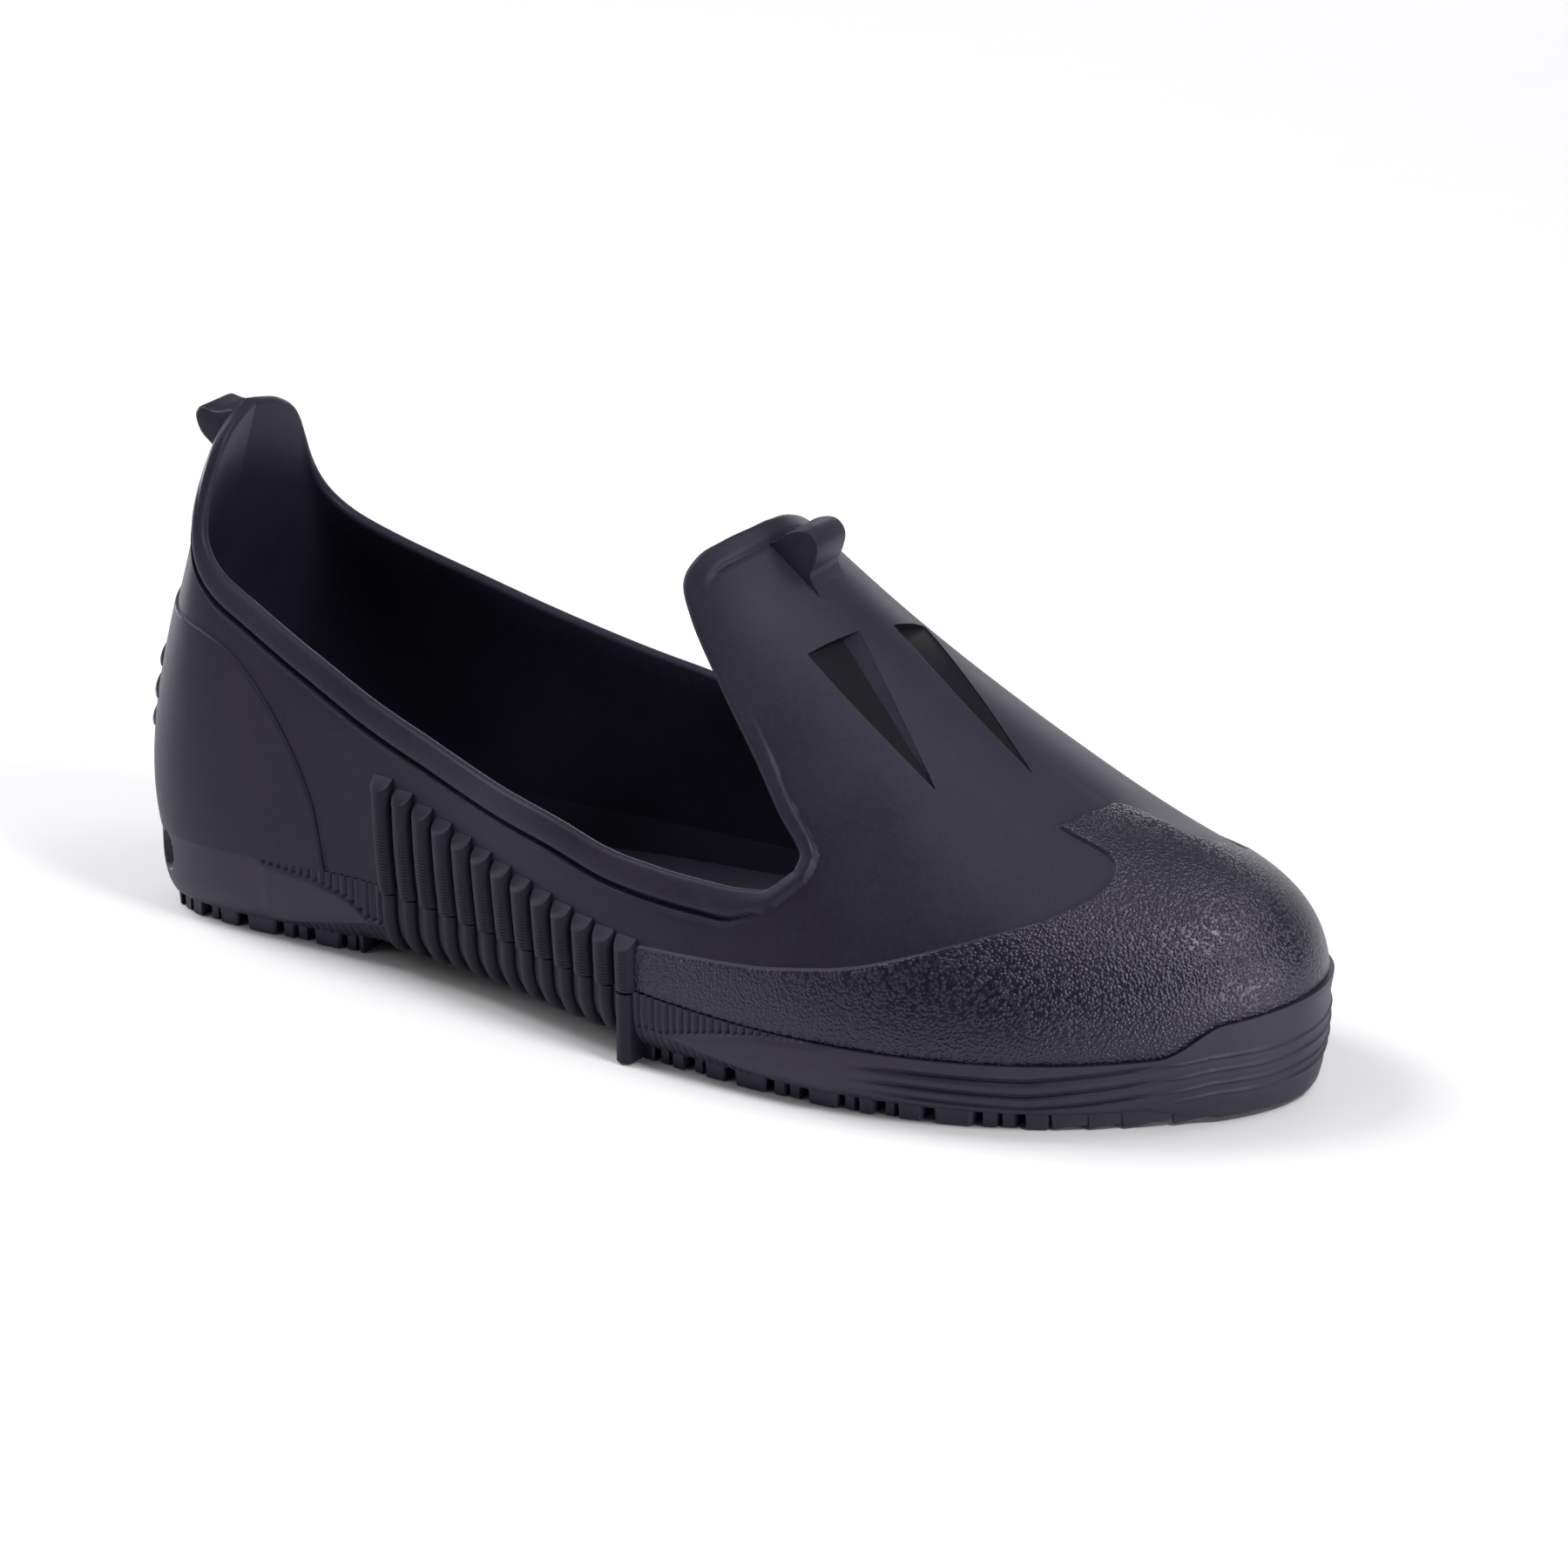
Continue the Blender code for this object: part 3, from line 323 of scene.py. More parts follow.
# Softboxes: azimuth, elevation, distance, width, height and power.
SOFTBOXES = (
    ("key_softbox", -86.0, 50.0, 1.6, 0.8, 0.8, 18.0),
    ("top_softbox", 150.0, 72.0, 1.7, 2.2, 2.2, 8.0),
    ("right_softbox", 76.0, 48.0, 1.5, 0.35, 0.35, 12.0),
    ("tongue_softbox", 122.0, 60.0, 1.6, 0.5, 0.5, 3.0),
    ("toe_softbox", 82.0, 5.0, 1.2, 0.7, 0.2, 7.0),
    ("back_softbox", 176.0, 12.0, 1.6, 1.6, 0.35, 3.2),
    ("backdrop_softbox", -160.0, 14.0, 1.6, 0.9, 0.4, 2.5),
    ("front_softbox", -38.0, 42.0, 1.8, 1.0, 0.8, 3.0),
    ("counter_softbox", -48.0, 12.0, 1.5, 0.5, 0.2, 1.2),
    ("left_softbox", -92.0, 7.0, 1.3, 0.5, 0.24, 10.0),
)
WORLD_STRENGTH = 0.03
FLOOR_SIZE = 9
FLOOR_CUTS = 8


def loop_spline(values):
    """Closed cubic spline through values at whole stations."""
    n = len(values)
    matrix = 4 * np.eye(n) + np.roll(np.eye(n), 1, 0) + np.roll(np.eye(n), -1, 0)
    bend = np.linalg.solve(matrix, 6 * (np.roll(values, -1) - 2 * values + np.roll(values, 1)))

    def at(t):
        t = np.mod(t, n)
        i = np.floor(t).astype(int) % n
        j = (i + 1) % n
        u = t - np.floor(t)
        w = 1 - u
        return (w * values[i] + u * values[j]
                + ((w ** 3 - w) * bend[i] + (u ** 3 - u) * bend[j]) / 6)

    return at


def through(knots, values, x):
    """Smooth open curve through a table column."""
    slope = np.gradient(values, knots)
    i = np.clip(np.searchsorted(knots, x, side="right") - 1, 0, len(knots) - 2)
    h = knots[i + 1] - knots[i]
    u = (x - knots[i]) / h
    return ((1 + 2 * u) * (1 - u) ** 2 * values[i] + u * (1 - u) ** 2 * h * slope[i]
            + u * u * (3 - 2 * u) * values[i + 1] + u * u * (u - 1) * h * slope[i + 1])


def step(x, low, high):
    """Smooth step from 0 at low to 1 at high."""
    u = np.clip((x - low) / (high - low), 0, 1)
    return u * u * (3 - 2 * u)


def hump(x, middle, half):
    """Round bump of height 1 about a middle."""
    return np.exp(-((x - middle) / half) ** 2)


def span(x, first, full, fade, last):
    """1 from full to fade, falling smoothly to 0 at first and at last."""
    return step(x, first, full) * (1 - step(x, fade, last))


def build_last():
    """Splines of every last column, lateral rows first and medial rows on the way back."""
    order = list(range(TOE_STATION + 1)) + list(range(TOE_STATION - 1, 0, -1))
    side = np.array([-1.0] * (TOE_STATION + 1) + [1.0] * (TOE_STATION - 1))
    cols = {name: values[order] for name, values in LAST_BY_NAME.items()}
    fan = np.radians(cols["fan"])
    data = {name: cols[name] for name in ("x", "foot", "top_x", "top_z", "top_half", "sway",
                                          "low", "high", "tilt")}
    data["y"] = np.where(side < 0, -cols["lateral"], cols["medial"])
    data["lean"] = np.radians(cols["lean"])
    data["drop"] = np.radians(cols["drop"])
    data["fan_x"] = np.cos(fan)
    data["fan_y"] = side * np.sin(fan) * (np.abs(np.sin(fan)) > 1e-6)
    return {name: loop_spline(values) for name, values in data.items()}


SPLINES = build_last()


def near_station(t):
    """Station counted from the heel on either side."""
    t = np.mod(t, LOOP)
    return np.minimum(t, LOOP - t)


def side_of(t):
    """-1 on the lateral side and 1 on the medial side."""
    return np.where(np.mod(t, LOOP) <= TOE_STATION, -1.0, 1.0)


def unit(v):
    """Directions of length one."""
    return v / np.linalg.norm(v, axis=-1, keepdims=True)


def squared(x, power):
    """Pushes the places of a round towards its ends."""
    return np.sign(x) * np.abs(x) ** power


def run_along(line):
    """Length along a line of points, from its first one."""
    return np.concatenate([[0], np.cumsum(np.linalg.norm(np.diff(line, axis=0), axis=1))])


def outward(t):
    """Plan direction square to the sole's outline."""
    e = 1e-4
    dx = SPLINES["x"](t + e) - SPLINES["x"](t - e)
    dy = SPLINES["y"](t + e) - SPLINES["y"](t - e)
    return unit(np.stack([dy, -dx, 0 * dx], -1))


def last_point(t, q):
    """Outside surface of the upper at station t and height q, as a cubic section."""
    t, q = np.broadcast_arrays(np.asarray(t, float), np.asarray(q, float))
    g = {name: f(t) for name, f in SPLINES.items()}
    foot = np.stack([g["x"], g["y"], g["foot"]], -1)
    half = g["top_half"] * (1 - step(near_station(t), *RIDGE_CLOSES))
    top = np.stack([g["top_x"], g["sway"] + side_of(t) * half, g["top_z"]], -1)
    rise = np.cos(g["lean"])[..., None] * UP + np.sin(g["lean"])[..., None] * outward(t)
    fan = unit(np.stack([g["fan_x"], g["fan_y"], 0 * t], -1))
    fall = np.cos(g["drop"])[..., None] * fan - np.sin(g["drop"])[..., None] * UP
    fall[..., 2] += np.cos(g["drop"]) * g["tilt"] * fan[..., 0]
    low = foot + g["low"][..., None] * rise
    high = top + g["high"][..., None] * fall
    q = q[..., None]
    return ((1 - q) ** 3 * foot + 3 * (1 - q) ** 2 * q * low
            + 3 * (1 - q) * q * q * high + q ** 3 * top)


def last_normal(t, q):
    """Outward direction of the last surface."""
    e = 2e-3
    q = np.clip(q, 0, NORMAL_TOP)
    along = last_point(t + e, q) - last_point(t - e, q)
    rising = last_point(t, q + e) - last_point(t, q - e)
    return unit(np.cross(along, rising))


def off_last(t, q, offset):
    """Points that stand a distance off the last."""
    t, q = np.broadcast_arrays(np.asarray(t, float), np.asarray(q, float))
    return last_point(t, q) + np.broadcast_to(offset, t.shape)[..., None] * last_normal(t, q)


def band_height(t):
    """Start height on the last above the sole's band, raised at the toe bumper."""
    rise = BUMPER_RISE * step(near_station(t), *BUMPER_STATIONS)
    return rise / (3 * SPLINES["low"](t) * np.cos(SPLINES["lean"](t)))


def height_at(t, z):
    """Height q on the section at station t that lies z above the floor."""
    q = np.linspace(0, 0.9, 181)
    return float(np.interp(z, last_point(np.full_like(q, t), q)[:, 2], q))


def half_columns(first, runs):
    """Columns of one side, as stretches that each end at a station."""
    parts = []
    for until, count in runs:
        parts.append(np.linspace(first, until, count + 1)[:-1])
        first = until
    return np.concatenate(parts + [[first]])


def both_sides(half):
    """Lateral columns heel to toe, then medial columns back."""
    return np.concatenate([half, (LOOP - half[1:-1])[::-1]])


def rear_station(rear, height, t):
    """Station of a piece's rear edge at a height, further forward on the medial side."""
    knots, station, skew = np.array(rear, float).T
    return through(knots, station, height) + np.where(side_of(t) > 0, through(knots, skew, height), 0)


def low_top(t, low):
    """Upper end of the low rows: the piece's edge, then level forward of its corner."""
    near = np.minimum(near_station(t), low[-1][0])
    knots, height, _, medial = np.array(low, float).T
    return through(knots, height, near) + np.where(side_of(t) > 0, through(knots, medial, near), 0)


def low_rows(t, low, steps, count):
    """Heights of rows at set distances under an edge, then even rows down to the sole's band.

    Returns the heights and each row's distance under the edge.
    """
    band = band_height(t)[:, None]
    q = band + (low_top(t, low)[:, None] - band) * np.linspace(0, 1, 81)
    piece = np.linalg.norm(np.diff(last_point(t[:, None], q), axis=1), axis=-1)
    run = np.concatenate([np.zeros((len(t), 1)), np.cumsum(piece, 1)], 1)
    length = run[:, -1:]
    near = np.broadcast_to(np.array(steps), (len(t), len(steps)))
    rest = near[:, -1:] + (length - near[:, -1:]) * np.linspace(0, 1, count + 1)[1:]
    away = np.concatenate([near, rest], 1)
    rows = np.array([np.interp(length[i] - away[i], run[i], q[i]) for i in range(len(t))])
    return rows, away


def high_rows(t, low, rear, heights):
    """Stations and heights of level rows from a rear edge forward round the toe."""
    corner = low[-1][0]
    share = ((near_station(t) - corner) / (TOE_STATION - corner))[:, None]
    q = np.broadcast_to(heights, (len(t), len(heights)))
    edge = rear_station(rear, q, t[:, None])
    station = edge + share * (TOE_STATION - edge)
    return np.where(side_of(t)[:, None] < 0, station, LOOP - station), q


def sides_of_edge(t, low):
    """Columns forward of an edge's corner, then those behind it on the lateral and the medial side."""
    near = near_station(t)
    behind = near <= low[-1][0] + SAME
    return (np.flatnonzero(near >= low[-1][0] - SAME), np.flatnonzero(behind & (t <= TOE_STATION)),
            np.flatnonzero(behind & (t > TOE_STATION)))


def edge_line(low, high, lateral, medial):
    """Whole edge of a piece: lateral rows, rear edge up to the ridge and down again, medial rows."""
    return np.concatenate([low[lateral, 0], high[0], high[-1, ::-1], low[medial, 0]])


def close_ridge(points):
    """Lays the last row of both sides on one ridge line."""
    points[:, -1] = 0.5 * (points[:, -1] + points[::-1, -1])
    return points


def edge_distance(points, edge):
    """Distance of each point to an edge line, sampled finely."""
    fine = np.linspace(0, len(edge) - 1, 4 * len(edge))
    line = np.stack([np.interp(fine, np.arange(len(edge)), edge[:, k]) for k in range(3)], 1)
    flat = points.reshape(-1, 3)
    nearest = np.concatenate([
        np.sqrt(((part[:, None] - line[None]) ** 2).sum(-1).min(1))
        for part in np.array_split(flat, max(1, len(flat) // 2000))])
    return nearest.reshape(points.shape[:-1])


def sole_value(name, t):
    """Sole table column at a station of either side."""
    return np.interp(near_station(t), SOLE_BY_NAME["station"], SOLE_BY_NAME[name])


def spring(x):
    """Lift of the underside towards the toe."""
    return SPRING_LIFT * (np.clip(x - SPRING_START, 0, None) / SPRING_LENGTH) ** 2


def sole_wall(t, r):
    """Outside wall of the sole from its top edge, r = 0, to the edge of the underside, r = 1."""
    t, r = np.broadcast_arrays(np.asarray(t, float), np.asarray(r, float))
    edge = last_point(t, band_height(t))
    top = edge[..., 2] - SOLE_TOP_GAP
    under = sole_value("under", t) + spring(edge[..., 0])
    turn = r ** WALL_POWER
    out = sole_value("proud", t) * (1 - turn) - sole_value("inset", t) * turn
    p = edge + out[..., None] * outward(t)
    p[..., 2] = top + (under - top) * r
    return p


def on_vamp(x, y):
    """Point and normal of the last over a plan place on the vamp."""
    ridge = np.interp(x, LAST_BY_NAME["top_x"], LAST_BY_NAME["sway"])
    t = VAMP_STATION if y < ridge else LOOP - VAMP_STATION
    q = VAMP_HEIGHT
    e = 1e-3
    for _ in range(VAMP_TRIES):
        here = last_point(t, q)[:2]
        by_t = (last_point(t + e, q)[:2] - here) / e
        by_q = (last_point(t, q - e)[:2] - here) / -e
        dt, dq = np.linalg.solve(np.stack([by_t, by_q], 1), np.array([x, y]) - here)
        t = t + np.clip(dt, -STATION_STEP, STATION_STEP)
        q = np.clip(q + np.clip(dq, -HEIGHT_STEP, HEIGHT_STEP), *HEIGHT_LIMITS)
    return last_point(t, q), last_normal(t, q)


def placed(points):
    """Millimetre points of the tables as metres in the CAD frame."""
    return (np.asarray(points, float) - FRAME_AT) * MM


def unplaced(points):
    """Metre points of the CAD frame as millimetres of the tables."""
    return points / MM + FRAME_AT


def deselect():
    """Leaves edit mode and deselects everything, the CAD nodes among it."""
    if bpy.context.object and bpy.context.object.mode != "OBJECT":
        leave_edit()
    bpy.ops.object.select_all(action="DESELECT")


def pick(pieces):
    """Selects pieces and makes the first active."""
    deselect()
    for piece in pieces:
        piece.select_set(True)
    bpy.context.view_layer.objects.active = pieces[0]


def named(name):
    """Names the active piece and its mesh."""
    piece = bpy.context.object
    piece.name = name
    piece.data.name = name
    return piece


def primitive(add, name, **settings):
    """Adds a primitive with nothing else selected and names it."""
    deselect()
    add(**settings)
    return named(name)


def corners_of(piece):
    """Mesh points of a piece as an array."""
    co = np.empty(len(piece.data.vertices) * 3, np.float32)
    piece.data.vertices.foreach_get("co", co)
    return co.reshape(-1, 3).astype(float)


def set_corners(piece, points):
    """Moves the mesh points of a piece."""
    piece.data.vertices.foreach_set("co", np.asarray(points, np.float32).ravel())
    piece.data.update()


def laid_grid(name, points):
    """Grid primitive whose rows and columns are laid on an array of millimetre points."""
    rows, columns = points.shape[:2]
    piece = primitive(bpy.ops.mesh.primitive_grid_add, name, x_subdivisions=columns - 1,
                      y_subdivisions=rows - 1, size=2)
    co = corners_of(piece)
    i = np.rint((co[:, 1] + 1) / 2 * (rows - 1)).astype(int)
    j = np.rint((co[:, 0] + 1) / 2 * (columns - 1)).astype(int)
    set_corners(piece, placed(points[i, j]))
    return piece


def looped(points):
    """Repeats the first column of a ring as its last."""
    return np.concatenate([points, points[:, :1]], 1)


def edit(choice="SELECT"):
    """Opens the active piece in edit mode with everything, or nothing, selected."""
    bpy.ops.object.mode_set(mode="EDIT")
    bpy.ops.mesh.select_all(action=choice)


def leave_edit():
    """Goes back to object mode."""
    bpy.ops.object.mode_set(mode="OBJECT")


def face_outward():
    """Turns all faces of the open piece outward and leaves edit mode."""
    bpy.ops.mesh.select_all(action="SELECT")
    bpy.ops.mesh.normals_make_consistent(inside=False)
    leave_edit()


def cut(place, square, clear=False):
    """Cuts the whole open piece with a plane, and clears and closes its outer side if asked."""
    bpy.ops.mesh.select_all(action="SELECT")
    bpy.ops.mesh.bisect(plane_co=place, plane_no=square, use_fill=clear, clear_outer=clear)


def weld(pieces, name):
    """Joins pieces under one name, merges their shared edges and turns the faces outward."""
    pick(pieces)
    if len(pieces) > 1:
        bpy.ops.object.join()
    edit()
    bpy.ops.mesh.remove_doubles(threshold=MERGE)
    bpy.ops.mesh.dissolve_degenerate(threshold=MERGE / 2)
    face_outward()
    return named(name)


def copy_of(blank):
    """Copy of a piece with its own mesh."""
    copy = blank.copy()
    copy.data = blank.data.copy()
    bpy.context.collection.objects.link(copy)
    return copy


def mark(piece, name, values):
    """Stores a number for each mesh point under a name that materials read."""
    attribute = piece.data.attributes.new(name, "FLOAT", "POINT")
    attribute.data.foreach_set("value", values.astype(np.float32))


def face_centres(piece):
    """Centres of a piece's faces, in metres."""
    centres = np.empty(3 * len(piece.data.polygons))
    piece.data.polygons.foreach_get("center", centres)
    return centres.reshape(-1, 3)


def apply_modifier(piece, kind, **settings):
    """Adds a modifier, sets it up and applies it."""
    pick([piece])
    modifier = piece.modifiers.new(kind.title(), kind)
    for name, value in settings.items():
        setattr(modifier, name, value)
    bpy.ops.object.modifier_apply(modifier=modifier.name)


def finish_piece(piece, material, angle, node=None):
    """Smooths a piece under an angle, gives it a rubber if it has none yet and hangs it on the frame."""
    pick([piece])
    bpy.ops.object.shade_smooth_by_angle(angle=math.radians(angle))
    if material:
        piece.data.materials.clear()
        piece.data.materials.append(material)
    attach(piece, "root")
    if node:
        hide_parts(node)


def linear(hex_colour):
    """Linear colour with alpha from an sRGB hex value."""
    parts = [int(hex_colour[k:k + 2], 16) / 255 for k in (1, 3, 5)]
    return tuple(c / 12.92 if c <= 0.04045 else ((c + 0.055) / 1.055) ** 2.4 for c in parts) + (1.0,)


def sized(label, about, value):
    """Property for one size, in metres."""
    return bpy.props.FloatProperty(name=label, description=about, default=value, subtype="DISTANCE")


def coloured(label, about, value):
    """Property for one colour, from an sRGB hex value."""
    return bpy.props.FloatVectorProperty(name=label, description=about, default=linear(value), size=4,
                                         subtype="COLOR", min=0, max=1)


class OvershoeSizes(bpy.types.PropertyGroup):
    """Sizes of the moulded details."""

    wall: sized("Wall", "Thickness of the upper's wall", 0.0025)
    bead_height: sized("Rim height", "Height of the rolled rim", 0.0058)
    bead_proud: sized("Rim relief", "How far the rim stands out", 0.0013)
    seam_drop: sized("Seam drop", "Thin seam below the rim's edge", 0.0072)
    seam_proud: sized("Seam relief", "How far the thin seam stands out", 0.00095)
    lip_crown: sized("Lip crown", "Height of the rounded collar lip", 0.0012)
    tongue_band: sized("Tongue band", "Width of the raised tongue edge", 0.0046)
    counter_proud: sized("Counter relief", "How far the heel counter stands out", 0.0007)
    kick_proud: sized("Kick ridge relief", "How far the kick ridges stand out", 0.0015)
    guard_proud: sized("Guard relief", "How far the toe guard stands out", 0.0009)
    guard_round: sized("Guard edge", "Width of the guard's rounded edge", 0.0012)
    dart_depth: sized("Dart depth", "Depth of the darts at their top", 0.0019)
    rib_proud: sized("Rib relief", "How far the ribs stand out", 0.0032)
    rib_width: sized("Rib width", "Width of a rib at its root", 0.0057)
    rib_slope: sized("Rib slope", "Length of a rib's slanted top", 0.0046)
    rib_step: sized("Rib step", "How far lower halves stand back", 0.0014)
    flute_pitch: sized("Flute pitch", "Distance between flutes", 0.0021)
    flute_depth: sized("Flute depth", "Depth of the flutes", 0.0008)
    groove_depth: sized("Groove depth", "Depth of the long grooves", 0.0011)
    lug_depth: sized("Lug depth", "Height of the tread blocks", 0.004)
    grain: sized("Pebble", "Width of one pebble of the guard's grain", 0.00075)

    def mm(self, name):
        """A size in the tables' millimetres."""
        return getattr(self, name) / MM


class OvershoeColours(bpy.types.PropertyGroup):
    """Colours of the rubber and the stage."""

    upper: coloured("Upper", "Satin rubber of the upper", "#25222f")
    # The ribs' colour is darker than the upper's as painted shade between and under the ribs.
    ribs: coloured("Ribs", "Rubber of the waist ribs", "#1d1b24")
    guard: coloured("Toe guard", "Grained rubber of the guard", "#171420")
    sole: coloured("Outsole", "Dull rubber of the outsole", "#25222f")
    # The dart colour is darker than the upper's as painted shade on the dart floors.
    dart: coloured("Darts", "Polished rubber of the darts", "#17161a")
    glint: coloured("Glint", "Cool cast of the rubber's highlights", "#ece4ff")
    floor: coloured("Floor", "Pale studio floor", "#ececee")
    fleck: coloured("Floor flecks", "Slightly darker flecks of the floor", "#e9e9eb")


def add_node(tree, kind, links=None, **settings):
    """Adds a shader node with its settings, and links or sets its inputs."""
    node = tree.nodes.new("ShaderNode" + kind)
    for name, value in settings.items():
        setattr(node, name, value)
    for socket, source in (links or {}).items():
        if isinstance(source, bpy.types.NodeSocket):
            tree.links.new(source, node.inputs[socket])
        else:
            node.inputs[socket].default_value = source
    return node


def new_material(name):
    """Empty material with its node tree, shader and place on the piece."""
    material = bpy.data.materials.new(name)
    material.use_nodes = True
    tree = material.node_tree
    return material, tree, tree.nodes["Principled BSDF"], add_node(tree, "TexCoord").outputs["Object"]


def rubber(name, colour, roughness, spread, layers, sheen=0.2, painted_hollow_shade=0.0):
    """Moulded rubber, made once: uneven tone and gloss over 24 mm patches and 1.1 mm dust, and bump layers.

    Layers are rows of height function and depth in metres. Painted shade darkens the first one's hollows and
    painted light brightens its tops, by the share given last.
    """
    if name in bpy.data.materials:
        return bpy.data.materials[name]
    colours = bpy.context.scene.overshoe_colours
    material, tree, shader, place = new_material(name)
    patches = add_node(tree, "TexNoise", {"Vector": place, "Scale": 1 / (24 * MM), "Detail": 3.0})
    dust = add_node(tree, "TexNoise", {"Vector": place, "Scale": 1 / (1.1 * MM), "Detail": 2.0})
    mixed = add_node(tree, "Mix", {"Factor": 0.35, "A": patches.outputs["Fac"], "B": dust.outputs["Fac"]})
    uneven = {"Value": mixed.outputs["Result"], "From Min": 0.3, "From Max": 0.7}
    heights = [make(tree, place) for make, _ in layers]
    tone = add_node(tree, "MapRange", {**uneven, "To Min": 0.75, "To Max": 1.25})
    # Painted shade in the first layer's hollows and painted light on its tops.
    depth = add_node(tree, "MapRange", {"Value": heights[0], "To Min": 1 - painted_hollow_shade, "To Max": 1 + painted_hollow_shade})
    both = add_node(tree, "Math", {0: tone.outputs["Result"], 1: depth.outputs["Result"]},
                    operation="MULTIPLY")
    tinted = add_node(tree, "Mix", {"Factor": 1.0, 6: tuple(getattr(colours, colour)), 7: both.outputs[0]},
                      data_type="RGBA", blend_type="MULTIPLY")
    tree.links.new(tinted.outputs[2], shader.inputs["Base Color"])
    gloss = add_node(tree, "MapRange", {**uneven, "To Min": roughness - spread, "To Max": roughness + spread})
    tree.links.new(gloss.outputs["Result"], shader.inputs["Roughness"])
    shader.inputs["IOR"].default_value = 1.5
    shader.inputs["Specular IOR Level"].default_value = sheen
    shader.inputs["Specular Tint"].default_value = colours.glint
    normal = None
    for height, (_, deep) in zip(heights, layers):
        links = {"Height": height, "Strength": 1.0, "Distance": deep}
        if normal:
            links["Normal"] = normal
        normal = add_node(tree, "Bump", links).outputs["Normal"]
    tree.links.new(normal, shader.inputs["Normal"])
    return material


def skin_height(tree, place):
    """Mould skin: real texture is near 0.1 mm, drawn at 0.5 mm so that it shows."""
    return add_node(tree, "TexNoise", {"Vector": place, "Scale": 1 / (0.5 * MM), "Detail": 2.0,
                                       "Roughness": 0.6}).outputs["Fac"]


def wave_height(tree, place):
    """Slow unevenness of a soft moulding, about 14 mm across."""
    return add_node(tree, "TexNoise", {"Vector": place, "Scale": 1 / (14 * MM), "Detail": 1.0}).outputs["Fac"]


def pebble_height(tree, place):
    """Irregular pebbles with rounded tops and narrow valleys, none on the guard's smooth edge."""
    size = bpy.context.scene.overshoe_sizes.grain
    bend = add_node(tree, "TexNoise", {"Vector": place, "Scale": 0.8 / size, "Detail": 1.0})
    shift = add_node(tree, "VectorMath", {0: bend.outputs["Color"], "Scale": 0.5 * size}, operation="SCALE")
    bent = add_node(tree, "VectorMath", {0: place, 1: shift.outputs[0]}, operation="ADD")
    cells = add_node(tree, "TexVoronoi", {"Vector": bent.outputs[0], "Scale": 1 / size, "Smoothness": 0.25},
                     feature="SMOOTH_F1")
    valley = add_node(tree, "MapRange", {"Value": cells.outputs["Distance"], "From Min": 0.0,
                                         "From Max": 0.75}, interpolation_type="SMOOTHSTEP")
    mask = add_node(tree, "Attribute", attribute_name="grain")
    deep = add_node(tree, "Math", {0: valley.outputs["Result"], 1: mask.outputs["Fac"]}, operation="MULTIPLY")
    return add_node(tree, "Math", {0: 1.0, 1: deep.outputs[0]}, operation="SUBTRACT").outputs[0]


def tick_height(tree, place):
    """Fine cross lines on the rib crests, drawn at 0.8 mm so that they show."""
    mask = add_node(tree, "Attribute", attribute_name="tick")
    parts = add_node(tree, "SeparateXYZ", {"Vector": place})
    turn = add_node(tree, "Math", {0: parts.outputs["Z"], 1: 2 * math.pi / (0.8 * MM)}, operation="MULTIPLY")
    wave = add_node(tree, "Math", {0: turn.outputs[0]}, operation="SINE")
    lines = add_node(tree, "Math", {0: wave.outputs[0], 1: mask.outputs["Fac"]}, operation="MULTIPLY")
    return lines.outputs[0]


def satin_rubber():
    """Satin moulded rubber: a soft even sheen with barely uneven gloss."""
    return rubber("rubber_moulded_satin", "upper", 0.46, 0.06,
                  ((wave_height, 0.12 * MM), (skin_height, 0.02 * MM)))


def ribbed_rubber():
    """Satin moulded rubber with fine cross lines on the rib crests, in a darker colour that is painted shade
    between and under the ribs.
    """
    return rubber("rubber_moulded_ribbed", "ribs", 0.48, 0.06,
                  ((skin_height, 0.02 * MM), (tick_height, 0.09 * MM)))


def dart_shade_rubber():
    """Dart floor rubber: smoother than the satin skin round it, its colour darker as painted shade of a deep
    recess.
    """
    return rubber("rubber_moulded_polished", "dart", 0.5, 0.04, ((skin_height, 0.01 * MM),), sheen=0.06)


def pebbled_rubber():
    """Pebble-grained rubber: each pebble catches a small highlight, with painted light on its top and painted
    shade in the valley round it.
    """
    return rubber("rubber_pebble_grained", "guard", 0.37, 0.05,
                  ((pebble_height, 0.17 * MM), (skin_height, 0.02 * MM)), sheen=0.55, painted_hollow_shade=0.6)


def dull_rubber():
    """Dull sole rubber: rougher skin, so its highlights are broad and low."""
    return rubber("rubber_moulded_dull", "sole", 0.52, 0.06,
                  ((wave_height, 0.08 * MM), (skin_height, 0.03 * MM)), sheen=0.42)


def studio_paper():
    """Matt studio paper: near white, with faint flecks about 25 mm across."""
    colours = bpy.context.scene.overshoe_colours
    material, tree, shader, place = new_material("studio_paper_matt")
    fleck = add_node(tree, "TexNoise", {"Vector": place, "Scale": 1 / (25 * MM), "Detail": 2.0})
    tone = add_node(tree, "Mix", {"Factor": fleck.outputs["Fac"], 6: tuple(colours.floor),
                                  7: tuple(colours.fleck)}, data_type="RGBA")
    tree.links.new(tone.outputs[2], shader.inputs["Base Color"])
    shader.inputs["Roughness"].default_value = 0.9
    shader.inputs["Specular IOR Level"].default_value = 0.1
    return material


def bead_roll(away, sizes):
    """Swelling of the rolled rim, from 0 to 1, by distance from the collar edge."""
    height = sizes.mm("bead_height")
    crown = BEAD_CROWN * height
    half = np.where(away < crown, BEAD_REACH * crown, height - crown)
    return np.where(away < height, np.sqrt(np.clip(1 - ((away - crown) / half) ** 2, 0, 1)), 0)


